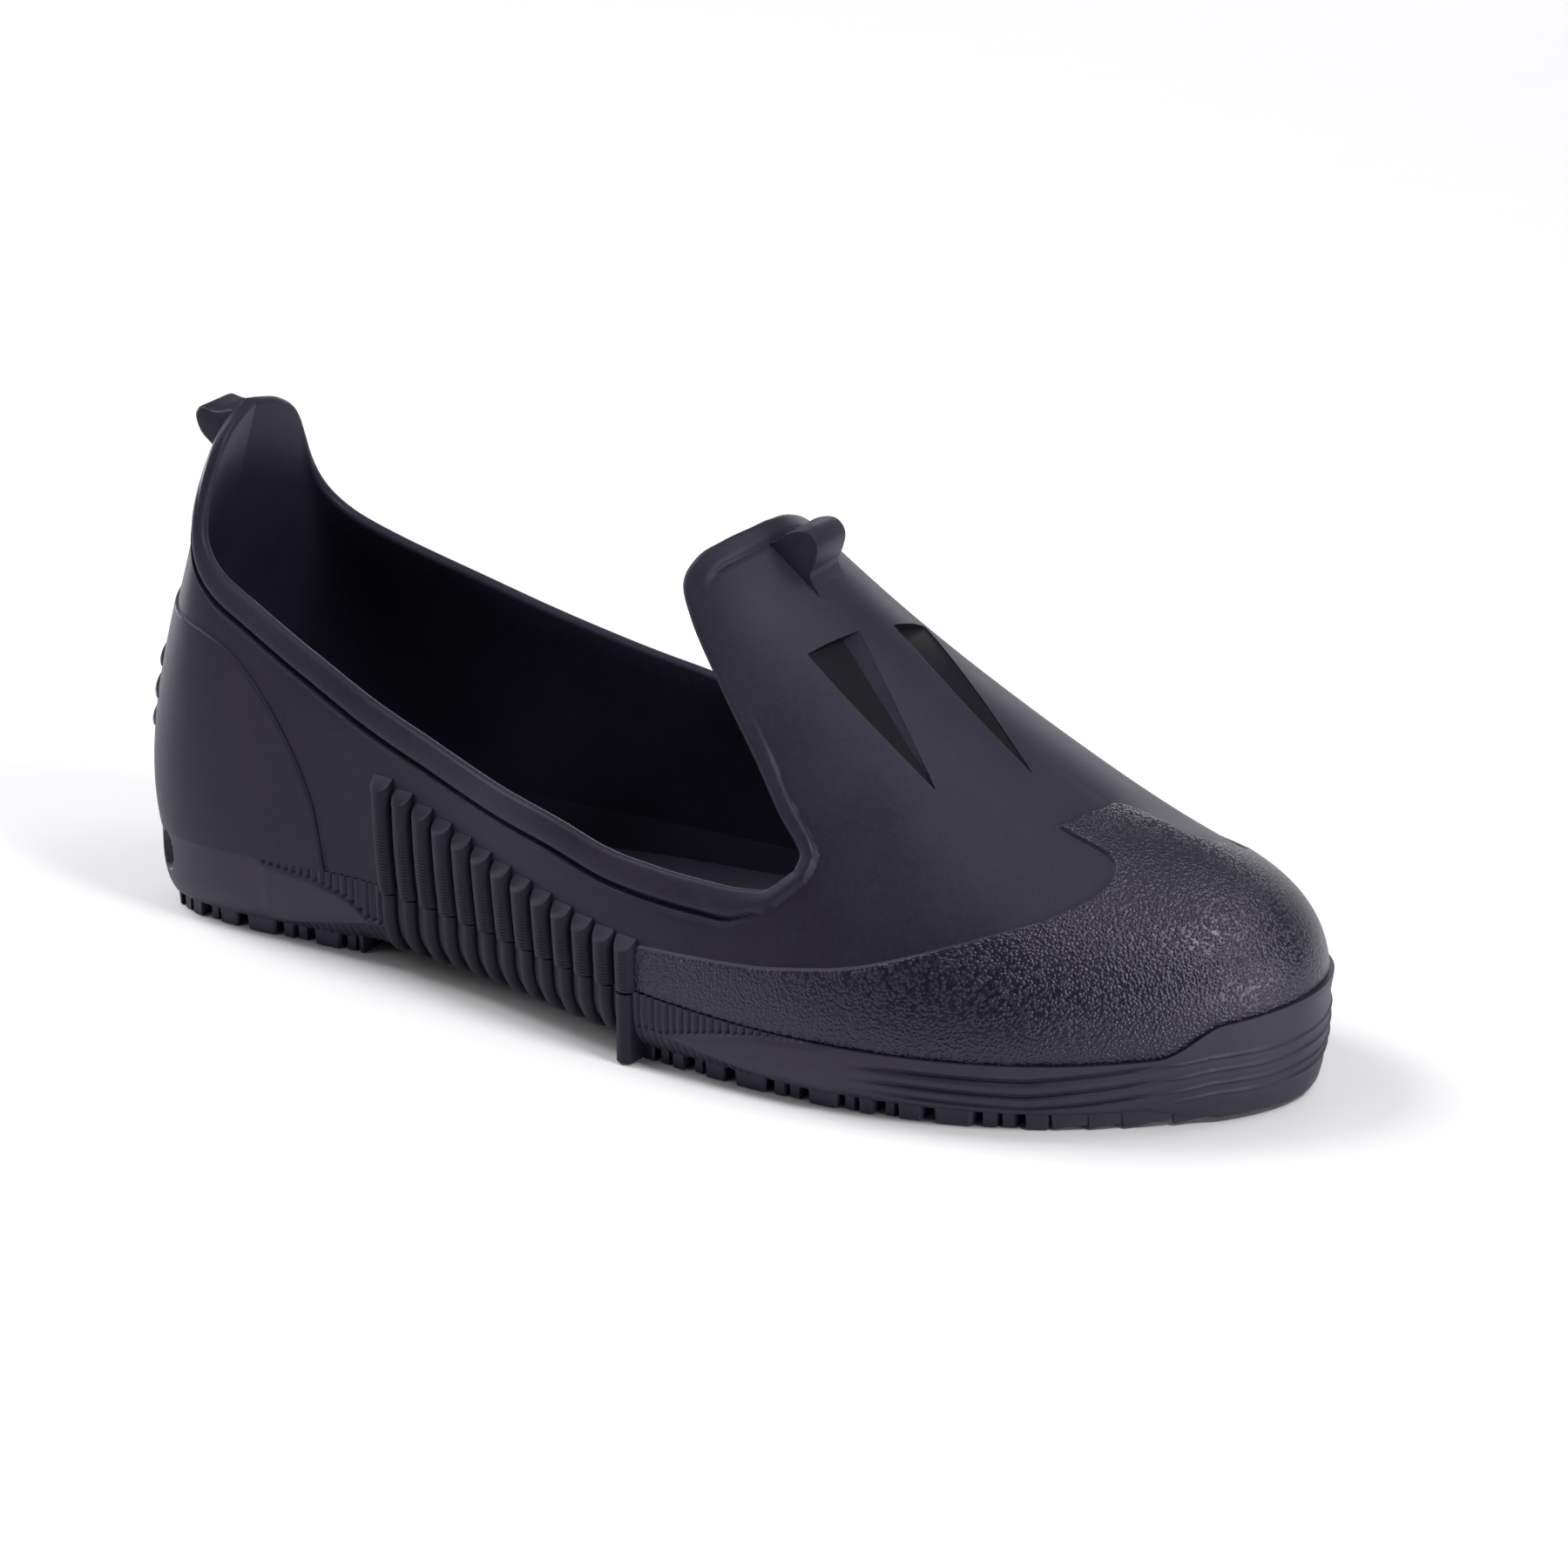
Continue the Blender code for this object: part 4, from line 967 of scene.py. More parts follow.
def bead_relief(away, share, sizes):
    """How far the rim stands out, with a share of the valley under it and of the thin seam."""
    seam = hump(away, sizes.mm("seam_drop"), SEAM_HALF)
    valley = hump(away, sizes.mm("seam_drop") - VALLEY_ABOVE, VALLEY_HALF)
    return (sizes.mm("bead_proud") * bead_roll(away, sizes)
            + share * (sizes.mm("seam_proud") * seam - VALLEY_DEPTH * valley))


def collar_lip(outer, inner, crown):
    """Rounded lip between the outer and the inner collar line, as rows across the wall."""
    wall = outer - inner
    along = np.roll(outer, -1, 0) - np.roll(outer, 1, 0)
    out = unit(np.cross(wall, along))
    a = np.linspace(0, math.pi, LIP_ROWS)[:, None, None]
    return 0.5 * (outer + inner) + 0.5 * np.cos(a) * wall + crown * np.sin(a) * out


def upper_sheets(sizes):
    """Outer and inner sheets, lip and foot of the upper, as grids of millimetre points."""
    wall = sizes.mm("wall")
    t = both_sides(half_columns(0.0, UPPER_RUNS))
    near = near_station(t)
    front, lateral, medial = sides_of_edge(t, RIM)
    q, away = low_rows(t, RIM, RIM_STEPS, WALL_ROWS)
    ht, hq = high_rows(t[front], RIM, VAMP, np.linspace(RIM[-1][1], 1.0, VAMP_ROWS))
    low_bare, high_bare = last_point(t[:, None], q), last_point(ht, hq)
    collar = edge_line(low_bare, high_bare, lateral, medial)
    throat = near >= THROAT_START
    narrow = 1 + THROAT_NARROW * step(near, NARROW_START, RIM[-1][0])[:, None]
    away[throat] = edge_distance(low_bare[throat], collar) * narrow[throat]
    share = np.interp(near, *np.array(RIM).T[[0, 2]])
    low_outer = off_last(t[:, None], q, bead_relief(away, share[:, None], sizes))
    band = band_height(t)[:, None]
    inside = band + (low_top(t, RIM)[:, None] - band) * np.linspace(1, 0, INSIDE_ROWS)
    low_inner = off_last(t[:, None], inside, -wall)
    low_inner[:, -1, 2] = low_outer[:, -1, 2]

    apart = edge_distance(high_bare, collar)
    width = sizes.mm("tongue_band")
    crease, beyond, half = TONGUE_CREASE
    tongue = (TONGUE_PROUD * (1 - step(apart, width - TONGUE_EDGE, width))
              - crease * hump(apart, width + beyond, half))
    roll = sizes.mm("bead_proud") * bead_roll(apart * (1 + THROAT_NARROW), sizes)
    relief = step(hq, *TONGUE_RISE) * tongue + (1 - step(hq, *ROLL_FADE)) * roll
    high_outer = close_ridge(off_last(ht, hq, relief))
    high_inner = close_ridge(off_last(ht, hq, -wall))

    def collar_ring(low, high):
        """Closed collar line of one sheet."""
        return np.concatenate([low[lateral, 0], high[0, 1:], high[-1, -2:0:-1], low[medial, 0]])

    lip = collar_lip(collar_ring(low_outer, high_outer), collar_ring(low_inner, high_inner),
                     sizes.mm("lip_crown"))
    foot = np.stack([low_outer[:, -1], low_inner[:, -1]])
    # The low rows' first row meets the high sheet, so both use the same points there.
    low_outer[front, 0] = high_outer[:, 0]
    low_inner[front, 0] = high_inner[:, 0]
    return {
        "low_outer": looped(low_outer.transpose(1, 0, 2)),
        "high_outer": high_outer.transpose(1, 0, 2),
        "lip": looped(lip),
        "high_inner": high_inner.transpose(1, 0, 2),
        "low_inner": looped(low_inner.transpose(1, 0, 2)),
        "foot": looped(foot),
    }


def dart_cutter(name, corners, depth):
    """Wedge with a floor that falls from the outer edge to a crease beside the inner wall."""
    outer, inner, tip = (np.array(corner) for corner in corners)
    rings = []
    for u in np.linspace(0, DART_END, DART_ROWS):
        left_place = outer * (1 - u) + tip * u
        right_place = inner * (1 - u) + tip * u
        left, left_normal = on_vamp(*left_place)
        crease, crease_normal = on_vamp(*(left_place * (1 - DART_CREASE) + right_place * DART_CREASE))
        right, right_normal = on_vamp(*right_place)
        rings.append([left - DART_OUTER_STEP * left_normal,
                      crease - depth * (1 - DART_SHALLOWS * u) * crease_normal,
                      right - DART_INNER_STEP * right_normal, right + DART_ABOVE * right_normal,
                      left + DART_ABOVE * left_normal])
    cutter = weld([laid_grid(name, looped(np.array(rings)))], name)
    edit()
    bpy.ops.mesh.fill_holes(sides=0)
    face_outward()
    return cutter


def sharpen_slot(piece, index, angle):
    """Marks the outline and the creases of the faces in one material slot as sharp."""
    pick([piece])
    piece.active_material_index = index

    def take_slot():
        """Selects the slot's faces and nothing else."""
        bpy.ops.mesh.select_mode(type="FACE")
        bpy.ops.mesh.select_all(action="DESELECT")
        bpy.ops.object.material_slot_select()

    edit()
    take_slot()
    bpy.ops.mesh.hide(unselected=True)
    bpy.ops.mesh.select_mode(type="EDGE")
    bpy.ops.mesh.select_all(action="DESELECT")
    bpy.ops.mesh.edges_select_sharp(sharpness=math.radians(angle))
    bpy.ops.mesh.mark_sharp()
    bpy.ops.mesh.reveal(select=False)
    take_slot()
    bpy.ops.mesh.region_to_loop()
    bpy.ops.mesh.mark_sharp()
    leave_edit()


class OVERSHOE_OT_upper(bpy.types.Operator):
    """Hollow upper with rolled rim, tongue band and darts"""

    bl_idname = "overshoe.upper"
    bl_label = "Upper"

    def execute(self, context):
        sizes = context.scene.overshoe_sizes
        grids = upper_sheets(sizes)
        shell = weld([laid_grid(name, points) for name, points in grids.items()], "upper_shell")
        shell.data.materials.append(satin_rubber())
        shell.data.materials.append(dart_shade_rubber())
        for number, corners in enumerate(DARTS):
            cutter = dart_cutter("dart_%d" % number, corners, sizes.mm("dart_depth"))
            for material in shell.data.materials:
                cutter.data.materials.append(material)
            across = unit(np.array(corners[1]) - np.array(corners[0]))
            # Dart floors get the darker rubber as painted shade; the inner wall keeps the lighter satin
            # rubber.
            for face in cutter.data.polygons:
                face.material_index = int(face.normal.x * across[0] + face.normal.y * across[1] < DART_WALL)
            apply_modifier(shell, "BOOLEAN", object=cutter, operation="DIFFERENCE", solver="EXACT",
                           material_mode="TRANSFER")
            bpy.data.objects.remove(cutter)
        sharpen_slot(shell, 1, DART_CREASE_ANGLE)
        finish_piece(shell, None, angle=35, node="upper")
        return {"FINISHED"}


def heel_run(z):
    """Signed length round the heel back and its stations, at a height."""
    t = np.linspace(-2, 2, 401)
    run = run_along(last_point(t, height_at(0.0, z)))
    return run - np.interp(0, t, run), t


class OVERSHOE_OT_heel_counter(bpy.types.Operator):
    """Raised heel counter and the kick ridges on its back"""

    bl_idname = "overshoe.heel_counter"
    bl_label = "Heel counter"

    def execute(self, context):
        sizes = context.scene.overshoe_sizes
        proud = sizes.mm("counter_proud")
        table = np.array(COUNTER)
        knots = np.linspace(0, 1, len(table))
        t, q = (through(knots, table[:, k], np.linspace(0, 1, 1200)) for k in (0, 1))
        run = run_along(last_point(t, q))
        even = np.linspace(0, run[-1], COUNTER_COLUMNS)
        half_t = np.interp(even, run, t)
        half_q = np.clip(np.interp(even, run, q), 0, 1)
        t = np.concatenate([-half_t[:0:-1], half_t])
        q = np.concatenate([half_q[:0:-1], half_q])
        rows_q = q[None] * (1 - COUNTER_ROWS)[:, None]
        rows_t = np.broadcast_to(t[None], rows_q.shape)
        apart = edge_distance(last_point(rows_t, rows_q), last_point(t, q))
        swell = np.sqrt(np.clip(1 - (1 - np.clip(apart / COUNTER_ROUND, 0, 1)) ** 2, 0, 1))
        sheet = off_last(rows_t, rows_q, (proud + COUNTER_SUNK) * swell - COUNTER_SUNK)
        panel = weld([laid_grid("heel_counter", sheet)], "heel_counter")
        apply_modifier(panel, "SOLIDIFY", thickness=COUNTER_THICK * MM, offset=-1.0)
        finish_piece(panel, satin_rubber(), angle=50)

        ridges = []
        for z, half_length, half_width in KICK_RIDGES:
            ridge = primitive(bpy.ops.mesh.primitive_uv_sphere_add, "kick_ridge", segments=40,
                              ring_count=20, radius=1)
            co = corners_of(ridge)
            t = np.interp(squared(co[:, 0], KICK_SQUARE) * half_length, *heel_run(z))
            lift = sizes.mm("kick_proud") * np.maximum(co[:, 2], KICK_BASE)
            bent = off_last(t, height_at(0.0, z), proud + lift)
            bent[:, 2] += half_width * co[:, 1]
            set_corners(ridge, placed(bent))
            ridges.append(ridge)
        finish_piece(weld(ridges, "heel_kick_ridges"), satin_rubber(), angle=60)
        return {"FINISHED"}


class OVERSHOE_OT_toe_guard(bpy.types.Operator):
    """Pebble-grained toe guard with a rounded edge"""

    bl_idname = "overshoe.toe_guard"
    bl_label = "Toe guard"

    def execute(self, context):
        sizes = context.scene.overshoe_sizes
        half = half_columns(GUARD_EDGE[0][0], GUARD_RUNS)
        t = np.concatenate([half, (LOOP - half[:-1])[::-1]])
        front, lateral, medial = sides_of_edge(t, GUARD_EDGE)
        q, _ = low_rows(t, GUARD_EDGE, GUARD_STEPS, GUARD_ROWS)
        heights = half_columns(GUARD_EDGE[-1][1], GUARD_HIGH_RUNS)
        ht, hq = high_rows(t[front], GUARD_EDGE, GUARD_REAR, heights)
        low, high = last_point(t[:, None], q), last_point(ht, hq)
        edge = edge_line(low, high, lateral, medial)
        proud, rounding = sizes.mm("guard_proud"), sizes.mm("guard_round")

        def swell(points):
            """Offset of the guard, rounded off at its upper edge and its foot."""
            near = np.clip(edge_distance(points, edge) / rounding, 0, 1)
            foot = np.clip(edge_distance(points, low[:, -1]) / (GUARD_FOOT_ROUND * rounding), 0, 1)
            full = GUARD_FOOT_RISE + (1 - GUARD_FOOT_RISE) * np.sqrt(1 - (1 - foot) ** 2)
            return (proud + GUARD_SUNK) * (step(near, 0, 1) * full) - GUARD_SUNK

        low_sheet = off_last(t[:, None], q, swell(low))
        high_sheet = close_ridge(off_last(ht, hq, swell(high)))
        low_sheet[front, 0] = high_sheet[:, 0]
        guard = weld([laid_grid("guard_low", low_sheet.transpose(1, 0, 2)),
                      laid_grid("guard_high", high_sheet.transpose(1, 0, 2))], "toe_guard_skin")
        mark(guard, "grain", step(edge_distance(unplaced(corners_of(guard)), edge), *GRAIN_RISE))
        apply_modifier(guard, "SOLIDIFY", thickness=GUARD_THICK * MM, offset=-1.0)
        guard.data.materials.append(pebbled_rubber())
        guard.data.materials.append(satin_rubber())
        smooth = edge_distance(unplaced(face_centres(guard)), edge) < GUARD_SMOOTH
        guard.data.polygons.foreach_set("material_index", smooth.astype(np.int32))
        finish_piece(guard, None, angle=60, node="toe_guard")
        return {"FINISHED"}


def band_relief(t, p, sizes):
    """Flutes, smooth wave panels, long grooves and the heel scoop of the sole's band."""
    near = near_station(t)
    x, z = SPLINES["x"](near), p[..., 2]
    fine = np.linspace(0, TOE_STATION, 2001)
    run = run_along(np.stack([SPLINES["x"](fine), SPLINES["y"](fine)], 1))
    turns = math.pi * np.interp(near, fine, run) / sizes.mm("flute_pitch")
    flute = sizes.mm("flute_depth") * (np.abs(np.cos(turns)) ** FLUTE_POWER - 1)

    def above(table):
        """Height of a place over one of the relief's boundary lines."""
        return z - np.interp(x, *np.array(table).T)

    relief = 0
    ends = ((FORE_SPAN, FORE_FLUTES, FORE_SKIRT, FORE_PANEL),
            (HEEL_SPAN, HEEL_FLUTES, HEEL_SKIRT, HEEL_PANEL))
    for limits, flutes, skirt, (proud, upper, lower) in ends:
        up, down = above(flutes), -above(skirt)
        relief = relief + span(x, *limits) * (flute * step(np.maximum(up, down), *FLUTE_EDGE)
                                              + proud * step(-up, *upper) * step(-down, *lower))
    proud, middle, half, start = HEEL_PANEL_LIP
    relief += span(x, *HEEL_SPAN) * proud * hump(-above(HEEL_SKIRT), middle, half) * step(x, *start)
    along, bumper = span(near, *GROOVE_SPAN), step(near, *BUMPER_LINES)
    tip = span(np.mod(t, LOOP), *TIP_SPAN)
    for heights in GROOVES:
        middle = np.interp(near, GROOVE_STATIONS, heights)
        relief -= along * sizes.mm("groove_depth") * hump(z, middle, GROOVE_HALF)
    for heights in LINES:
        middle = np.interp(near, GROOVE_STATIONS, heights)
        line, dip, groove = (deep * hump(z, middle - drop, half) for deep, drop, half in BUMPER_PROFILE)
        relief += bumper * (line - dip) - tip * groove
    # The bumper's top edge flares out round the tip of the toe.
    top = last_point(t, band_height(t))[..., 2]
    relief += TIP_FLARE * (1 - step(top - z, 0.0, TIP_FLARE_DROP)) * tip
    scoop_z, scoop_high, scoop_station, scoop_half, scoop_depth, scoop_edge = HEEL_SCOOP
    inside = 1 - ((near - scoop_station) / scoop_half) ** 2 - ((z - scoop_z) / scoop_high) ** 2
    return relief - scoop_depth * step(inside, 0.0, scoop_edge)


def band_rows(t):
    """Rows down the sole's wall, closer together about the long grooves and lines."""
    near = near_station(t)[:, None]
    fine = np.linspace(0, 1, 401)
    z = sole_wall(t[:, None], fine[None])[..., 2]
    crowd = np.ones_like(z)
    for heights in LINES:
        middle = np.interp(near, GROOVE_STATIONS, heights)
        crowd += LINE_CROWD * step(near, *CROWD_RISE) * hump(z, middle, CROWD_HALF)
    run = np.cumsum(crowd, 1)
    run = (run - run[:, :1]) / (run[:, -1:] - run[:, :1])
    even = np.linspace(0, 1, SOLE_ROWS)
    return np.array([np.interp(even, row, fine) for row in run])


def plate(points, rows):
    """Rows across the sole between the lateral and the medial half of a ring."""
    count = len(points)
    half = count // 2 + 1
    lateral = points[:half]
    medial = points[(-np.arange(half)) % count]
    u = np.linspace(0, 1, rows + 1)[:, None, None]
    return lateral * (1 - u) + medial * u


class OVERSHOE_OT_outsole(bpy.types.Operator):
    """Sole tray with its band, bed and underside"""

    bl_idname = "overshoe.outsole"
    bl_label = "Outsole"

    def execute(self, context):
        sizes = context.scene.overshoe_sizes
        t = both_sides(half_columns(0.0, SOLE_RUNS))
        wall = sole_wall(t[:, None], band_rows(t))
        relief = band_relief(np.broadcast_to(t[:, None], wall.shape[:2]), wall, sizes)
        square = outward(t)
        lip = wall[:, 0] - (SOLE_LIP + sole_value("proud", t))[:, None] * square
        wall = wall + relief[..., None] * square[:, None]
        bed = lip - BED_INSET * square
        bed[:, 2] = sole_value("bed", t) + BED_SPRING * spring(bed[:, 0])
        rim = 0.5 * (lip + wall[:, 0])
        rings = np.concatenate([np.stack([bed, lip, rim], 1), wall], 1)
        tray = weld([laid_grid("outsole_tray", looped(rings.transpose(1, 0, 2))),
                     laid_grid("outsole_bed", plate(bed, PLATE_ROWS)),
                     laid_grid("outsole_underside", plate(wall[:, -1], PLATE_ROWS))], "outsole_tray")
        finish_piece(tray, dull_rubber(), angle=40, node="outsole")
        return {"FINISHED"}


def rib_stations():
    """Station and x of each rib on the lateral and the medial side."""
    t = np.linspace(0, TOE_STATION, 1001)
    x = RIB_FIRST_X + RIB_PITCH * np.arange(RIB_COUNT)
    lateral = np.interp(x, SPLINES["x"](t), t)
    return list(zip(lateral, x)) + list(zip(LOOP - lateral, x))


def rib_blank(name, half, proud, slope):
    """One straight rib, modelled along Y from its top, with a slanted top where it has a slope."""
    blank = primitive(bpy.ops.mesh.primitive_cylinder_add, name, vertices=RIB_SIDES, radius=1,
                      depth=RIB_BLANK, rotation=(math.pi / 2, 0, 0), location=(0, RIB_BLANK / 2, 0))
    bpy.ops.object.transform_apply(location=True, rotation=True, scale=True)
    co = corners_of(blank)
    co[:, 0] = half * squared(co[:, 0], RIB_SQUARE[0])
    co[:, 2] = proud * squared(co[:, 2], RIB_SQUARE[1])
    set_corners(blank, co)
    edit()
    for y in np.linspace(0, RIB_BLANK, RIB_RINGS + 2)[1:-1]:
        cut((0, y, 0), (0, 1, 0))
    cut((0, 0, -RIB_SUNK), (0, 0, -1), clear=True)
    if slope:
        cut((0, RIB_TOP_AT, 0), (0, -proud, slope), clear=True)
        bpy.ops.mesh.bevel(offset=RIB_TOP_ROUND, segments=1, affect="EDGES")
    leave_edit()
    return blank


def rib_copy(blank, length, rounding):
    """Copy of a rib, cut to length with a rounded end."""
    copy = copy_of(blank)
    pick([copy])
    edit()
    cut((0, length, 0), (0, 1, 0), clear=True)
    bpy.ops.mesh.bevel(offset=rounding, segments=2, affect="EDGES")
    leave_edit()
    return copy


def bend_on(copy, path, along, normals):
    """Bends a straight rib on a path of points with their outward directions."""
    co = corners_of(copy)
    run = run_along(path)

    def at(values):
        """Path values at each point's place along the rib."""
        return np.stack([np.interp(co[:, 1], run, values[:, k]) for k in range(3)], 1)

    set_corners(copy, placed(at(path) + co[:, :1] * along + co[:, 2:] * unit(at(normals))))


def upper_rib(blank, t, x, along, proud):
    """Upper half of one rib, from its slanted top down to the sole's band."""
    reach = RIB_PITCH * (RIB_COUNT - 1)
    climb = (max(RIB_FIRST_X + reach - x, 0) / reach) ** RIB_TOP_POWER
    q = np.linspace(height_at(t, RIB_TOP_FRONT + RIB_TOP_CLIMB * climb), 0, RIB_PATH)
    path = last_point(t, q)
    length = run_along(path)[-1]
    rib = rib_copy(blank, length, RIB_END_ROUND)
    co = corners_of(rib)
    crest = step(co[:, 2] / proud, *TICK_RISE) * step(co[:, 0] * side_of(t), *TICK_SIDE)
    bend_on(rib, path, along, last_normal(t, q))
    mark(rib, "tick", crest * step(co[:, 1] / length, *TICK_START))
    return rib


def lower_rib(blank, t, along, square, post):
    """Lower half of one rib down the sole's wall, or the straight post at the front."""
    path = sole_wall(t, np.linspace(*LOWER_SPAN, RIB_PATH))
    if post:
        path = path[0] + np.linspace(0, 1, RIB_PATH)[:, None] * (POST_FOOT - path[0][2]) * UP
        normals = np.broadcast_to(square, path.shape)
    else:
        normals = unit(np.cross(np.gradient(path, axis=0), along))
        normals *= np.sign((normals * square).sum(-1, keepdims=True) + SAME)
    length = run_along(path)[-1]
    rib = rib_copy(blank, length, LOWER_END_ROUND)
    co = corners_of(rib)
    if post:
        co[:, 2] *= np.where(co[:, 2] < 0, POST_DEPTH, 1)
    else:
        end = np.clip((co[:, 1] / length - LOWER_TAPER) / (1 - LOWER_TAPER), 0, 1)
        co[:, 2] *= np.where(co[:, 2] > 0, np.sqrt(1 - LOWER_THIN * end ** 2), 1)
    set_corners(rib, co)
    bend_on(rib, path, along, normals)
    return rib


class OVERSHOE_OT_ribs(bpy.types.Operator):
    """Bellows ribs of the waist, upper halves with slanted tops and lower halves"""

    bl_idname = "overshoe.ribs"
    bl_label = "Waist ribs"

    def execute(self, context):
        sizes = context.scene.overshoe_sizes
        half, proud, inset = sizes.mm("rib_width") / 2, sizes.mm("rib_proud"), sizes.mm("rib_step")
        upper_blank = rib_blank("rib_upper", half, proud, sizes.mm("rib_slope"))
        lower_blank = rib_blank("rib_lower", half - 0.5 * inset, proud - inset, 0.0)
        uppers, lowers = [], []
        for number, (t, x) in enumerate(rib_stations()):
            square = outward(np.array(t))
            along = unit(np.cross(square, UP))
            uppers.append(upper_rib(upper_blank, t, x, along, proud))
            lowers.append(lower_rib(lower_blank, t, along, square, number % RIB_COUNT == RIB_COUNT - 1))
        for blank in (upper_blank, lower_blank):
            bpy.data.objects.remove(blank)
        finish_piece(weld(uppers, "upper_ribs"), ribbed_rubber(), angle=26)
        finish_piece(weld(lowers, "sole_ribs"), ribbed_rubber(), angle=26)
        return {"FINISHED"}


def tab(name, outline, place):
    """Side outline carried across the shoe, with its edges rounded."""
    middle, half, rounding = place
    around = np.linspace(0, len(outline), TAB_POINTS, endpoint=False)
    x, z = (loop_spline(np.array(values))(around) for values in zip(*outline))
    piece = primitive(bpy.ops.mesh.primitive_circle_add, name, vertices=TAB_POINTS, radius=1,
                      fill_type="NGON")
    set_corners(piece, placed(np.stack([x, np.full(TAB_POINTS, middle - half), z], 1)))
    edit()
    bpy.ops.mesh.extrude_region_move(TRANSFORM_OT_translate={"value": (0, 2 * half * MM, 0)})
    face_outward()
    apply_modifier(piece, "BEVEL", width=rounding * MM, segments=4, limit_method="ANGLE",
                   angle_limit=math.radians(50))
    return piece


class OVERSHOE_OT_pull_tabs(bpy.types.Operator):
    """Heel tab behind the rim and rounded lug on the tongue"""

    bl_idname = "overshoe.pull_tabs"
    bl_label = "Pull tabs"

    def execute(self, context):
        finish_piece(tab("heel_tab", HEEL_TAB, HEEL_TAB_PLACE), satin_rubber(), angle=40)
        finish_piece(tab("front_lug", FRONT_LUG, FRONT_LUG_PLACE), satin_rubber(), angle=40)
        return {"FINISHED"}


def lug_blank():
    """One tread block, tapered to the floor with softened edges."""
    blank = primitive(bpy.ops.mesh.primitive_cube_add, "lug", size=2)
    edit("DESELECT")
    bpy.ops.mesh.select_mode(type="FACE")
    leave_edit()
    for face in blank.data.polygons:
        face.select = face.normal.z < -0.5
    bpy.ops.object.mode_set(mode="EDIT")
    bpy.ops.transform.resize(value=LUG_TAPER)
    bpy.ops.mesh.select_all(action="SELECT")
    bpy.ops.mesh.bevel(offset=LUG_BEVEL, segments=1, affect="EDGES")
    leave_edit()
    return blank


def lug_plan(ends, low, high):
    """Plan corners of a block between two lines across the sole."""
    return [(ends[0], low[0]), (ends[1], low[1]), (ends[1], high[1]), (ends[0], high[0])]


def lug_plans():
    """Plan corners of every block, and the numbers of those that are slanted teeth."""
    t = np.linspace(0.2, TOE_STATION - 0.05, 800)
    edges = {-1: sole_wall(t, 1.0), 1: sole_wall(LOOP - t, 1.0)}

    def edge_y(x, side):
        """Y of the underside's edge at x on one side."""
        line = edges[side][np.argsort(edges[side][:, 0])]
        return np.interp(x, line[:, 0], line[:, 1])

    plans = []
    for first, last in LUG_SPANS:
        for side in (-1, 1):
            x = first
            blocks = itertools.cycle(EDGE_LUGS)
            while x < last:
                length, gap, back = next(blocks)
                ends = np.array([x, min(x + length, last)])
                y = edge_y(ends, side)
                plans.append(lug_plan(ends, y - side * back, y - side * EDGE_LUG_WIDTH))
                x += length + gap
    plain = len(plans)
    for first, last in zip(TEETH, TEETH[1:]):
        for side in (-1, 1):
            ends = np.array([first - TOOTH_LAP, last + TOOTH_LAP])
            y = edge_y(ends, side)
            plans.append(lug_plan(ends, y, y - side * EDGE_LUG_WIDTH))
    toothed = range(plain, len(plans))
    for first, last, pitch, length, cells in INNER_LUGS:
        for x in np.arange(first, last, pitch):
            ends = np.array([x - length / 2, x + length / 2])
            low = edge_y(ends, -1) + EDGE_LUG_WIDTH + LUG_SLIT
            high = edge_y(ends, 1) - EDGE_LUG_WIDTH - LUG_SLIT
            cell = (high - low - LUG_SLIT * (cells - 1)) / cells
            for c in range(cells):
                shift = LUG_STAGGER * pitch * (1 if c % 2 else -1)
                y = low + c * (cell + LUG_SLIT)
                plans.append(lug_plan(ends + shift, y, y + cell))
    return plans, toothed


class OVERSHOE_OT_lugs(bpy.types.Operator):
    """Tread blocks along the edge and across heel and forefoot"""

    bl_idname = "overshoe.lugs"
    bl_label = "Tread blocks"

    def execute(self, context):
        deep = context.scene.overshoe_sizes.mm("lug_depth") + LUG_SUNK
        blank = lug_blank()
        a, b, c = ((corners_of(blank) + 1) / 2).T
        shares = np.stack([(1 - a) * (1 - b), a * (1 - b), a * b, (1 - a) * b], 1)
        plans, toothed = lug_plans()
        lugs = []
        for number, corners in enumerate(plans):
            plan = shares @ np.array(corners)
            lift = spring(plan[:, 0]) + (TOOTH_RISE * a * (1 - c) if number in toothed else 0)
            lug = copy_of(blank)
            set_corners(lug, placed(np.column_stack([plan, lift + c * deep])))
            lugs.append(lug)
        bpy.data.objects.remove(blank)
        finish_piece(weld(lugs, "sole_lugs"), dull_rubber(), angle=30)
        return {"FINISHED"}


def toward(azimuth, elevation):
    """Direction to a lamp or the camera, from angles in degrees."""
    a, e = math.radians(azimuth), math.radians(elevation)
    return Vector((math.sin(a) * math.cos(e), -math.cos(a) * math.cos(e), math.sin(e)))


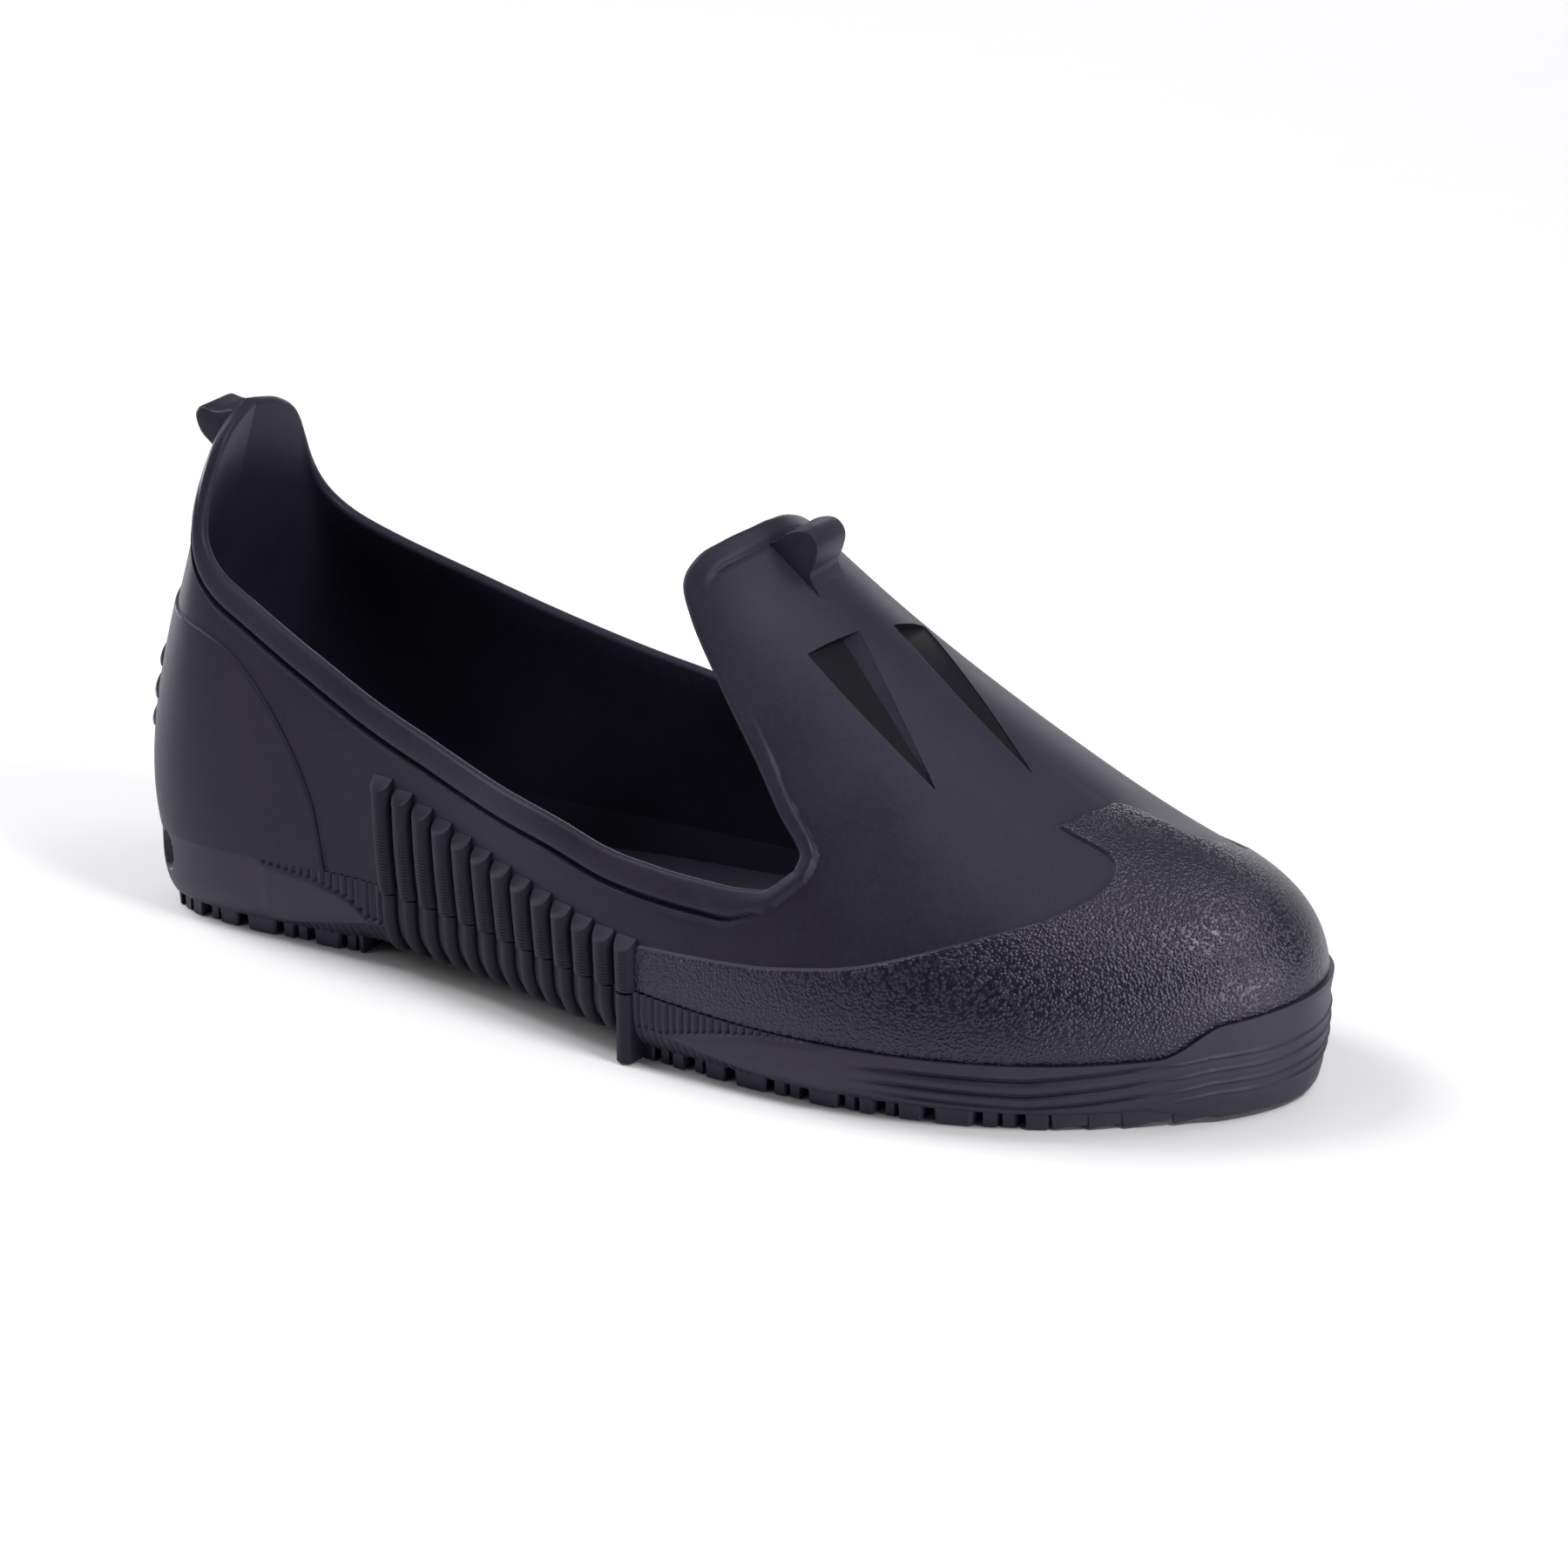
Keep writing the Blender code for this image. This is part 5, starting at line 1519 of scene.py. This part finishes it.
class OVERSHOE_OT_stage(bpy.types.Operator):
    """Pale floor, soft studio light and the camera"""

    bl_idname = "overshoe.stage"
    bl_label = "Stage"

    def execute(self, context):
        scene = context.scene
        floor = primitive(bpy.ops.mesh.primitive_plane_add, "floor", size=FLOOR_SIZE)
        edit()
        bpy.ops.mesh.subdivide(number_cuts=FLOOR_CUTS)
        leave_edit()
        floor.data.materials.append(studio_paper())

        aim = Vector(placed(CAMERA_AIM))
        for name, azimuth, elevation, distance, width, height, power in SOFTBOXES:
            back = toward(azimuth, elevation)
            deselect()
            bpy.ops.object.light_add(type="AREA", location=aim + distance * back,
                                     rotation=back.to_track_quat("Z", "Y").to_euler())
            lamp = bpy.context.object
            lamp.name = name
            lamp.data.shape = "RECTANGLE"
            lamp.data.size = width
            lamp.data.size_y = height
            lamp.data.energy = power

        world = bpy.data.worlds.new("studio_white")
        world.use_nodes = True
        sky = world.node_tree.nodes["Background"]
        sky.inputs["Color"].default_value = linear("#ffffff")
        sky.inputs["Strength"].default_value = WORLD_STRENGTH
        scene.world = world
        scene.view_settings.view_transform = "Standard"

        back = toward(*CAMERA_ANGLES)
        deselect()
        bpy.ops.object.camera_add(location=aim + CAMERA_DISTANCE * MM * back,
                                  rotation=back.to_track_quat("Z", "Y").to_euler())
        camera = bpy.context.object
        camera.name = "photo_camera"
        camera.data.lens = CAMERA_LENS
        camera.data.sensor_fit = "HORIZONTAL"
        camera.data.sensor_width = CAMERA_SENSOR
        camera.data.clip_start = CAMERA_CLIP
        scene.camera = camera
        return {"FINISHED"}


class OVERSHOE_PT_panel(bpy.types.Panel):
    """Pieces of the overshoe in making order"""

    bl_idname = "OVERSHOE_PT_panel"
    bl_label = "Overshoe"
    bl_space_type = "VIEW_3D"
    bl_region_type = "UI"
    bl_category = "Overshoe"

    def draw(self, context):
        for group in (context.scene.overshoe_sizes, context.scene.overshoe_colours):
            for name in group.__annotations__:
                self.layout.prop(group, name)
        for piece in PIECES:
            self.layout.operator(piece.bl_idname)


PIECES = (OVERSHOE_OT_upper, OVERSHOE_OT_heel_counter, OVERSHOE_OT_toe_guard, OVERSHOE_OT_outsole,
          OVERSHOE_OT_ribs, OVERSHOE_OT_pull_tabs, OVERSHOE_OT_lugs, OVERSHOE_OT_stage)
CLASSES = (OvershoeSizes, OvershoeColours) + PIECES + (OVERSHOE_PT_panel,)


def register():
    """Registers the classes and hangs the settings on the scene."""
    for cls in CLASSES:
        bpy.utils.register_class(cls)
    bpy.types.Scene.overshoe_sizes = bpy.props.PointerProperty(type=OvershoeSizes)
    bpy.types.Scene.overshoe_colours = bpy.props.PointerProperty(type=OvershoeColours)


def unregister():
    """Takes the settings and the classes away again."""
    del bpy.types.Scene.overshoe_colours
    del bpy.types.Scene.overshoe_sizes
    for cls in reversed(CLASSES):
        bpy.utils.unregister_class(cls)


def main():
    register()
    bpy.ops.overshoe.upper()
    bpy.ops.overshoe.heel_counter()
    bpy.ops.overshoe.toe_guard()
    bpy.ops.overshoe.outsole()
    bpy.ops.overshoe.ribs()
    bpy.ops.overshoe.pull_tabs()
    bpy.ops.overshoe.lugs()
    bpy.ops.overshoe.stage()


if __name__ == "__main__":
    main()
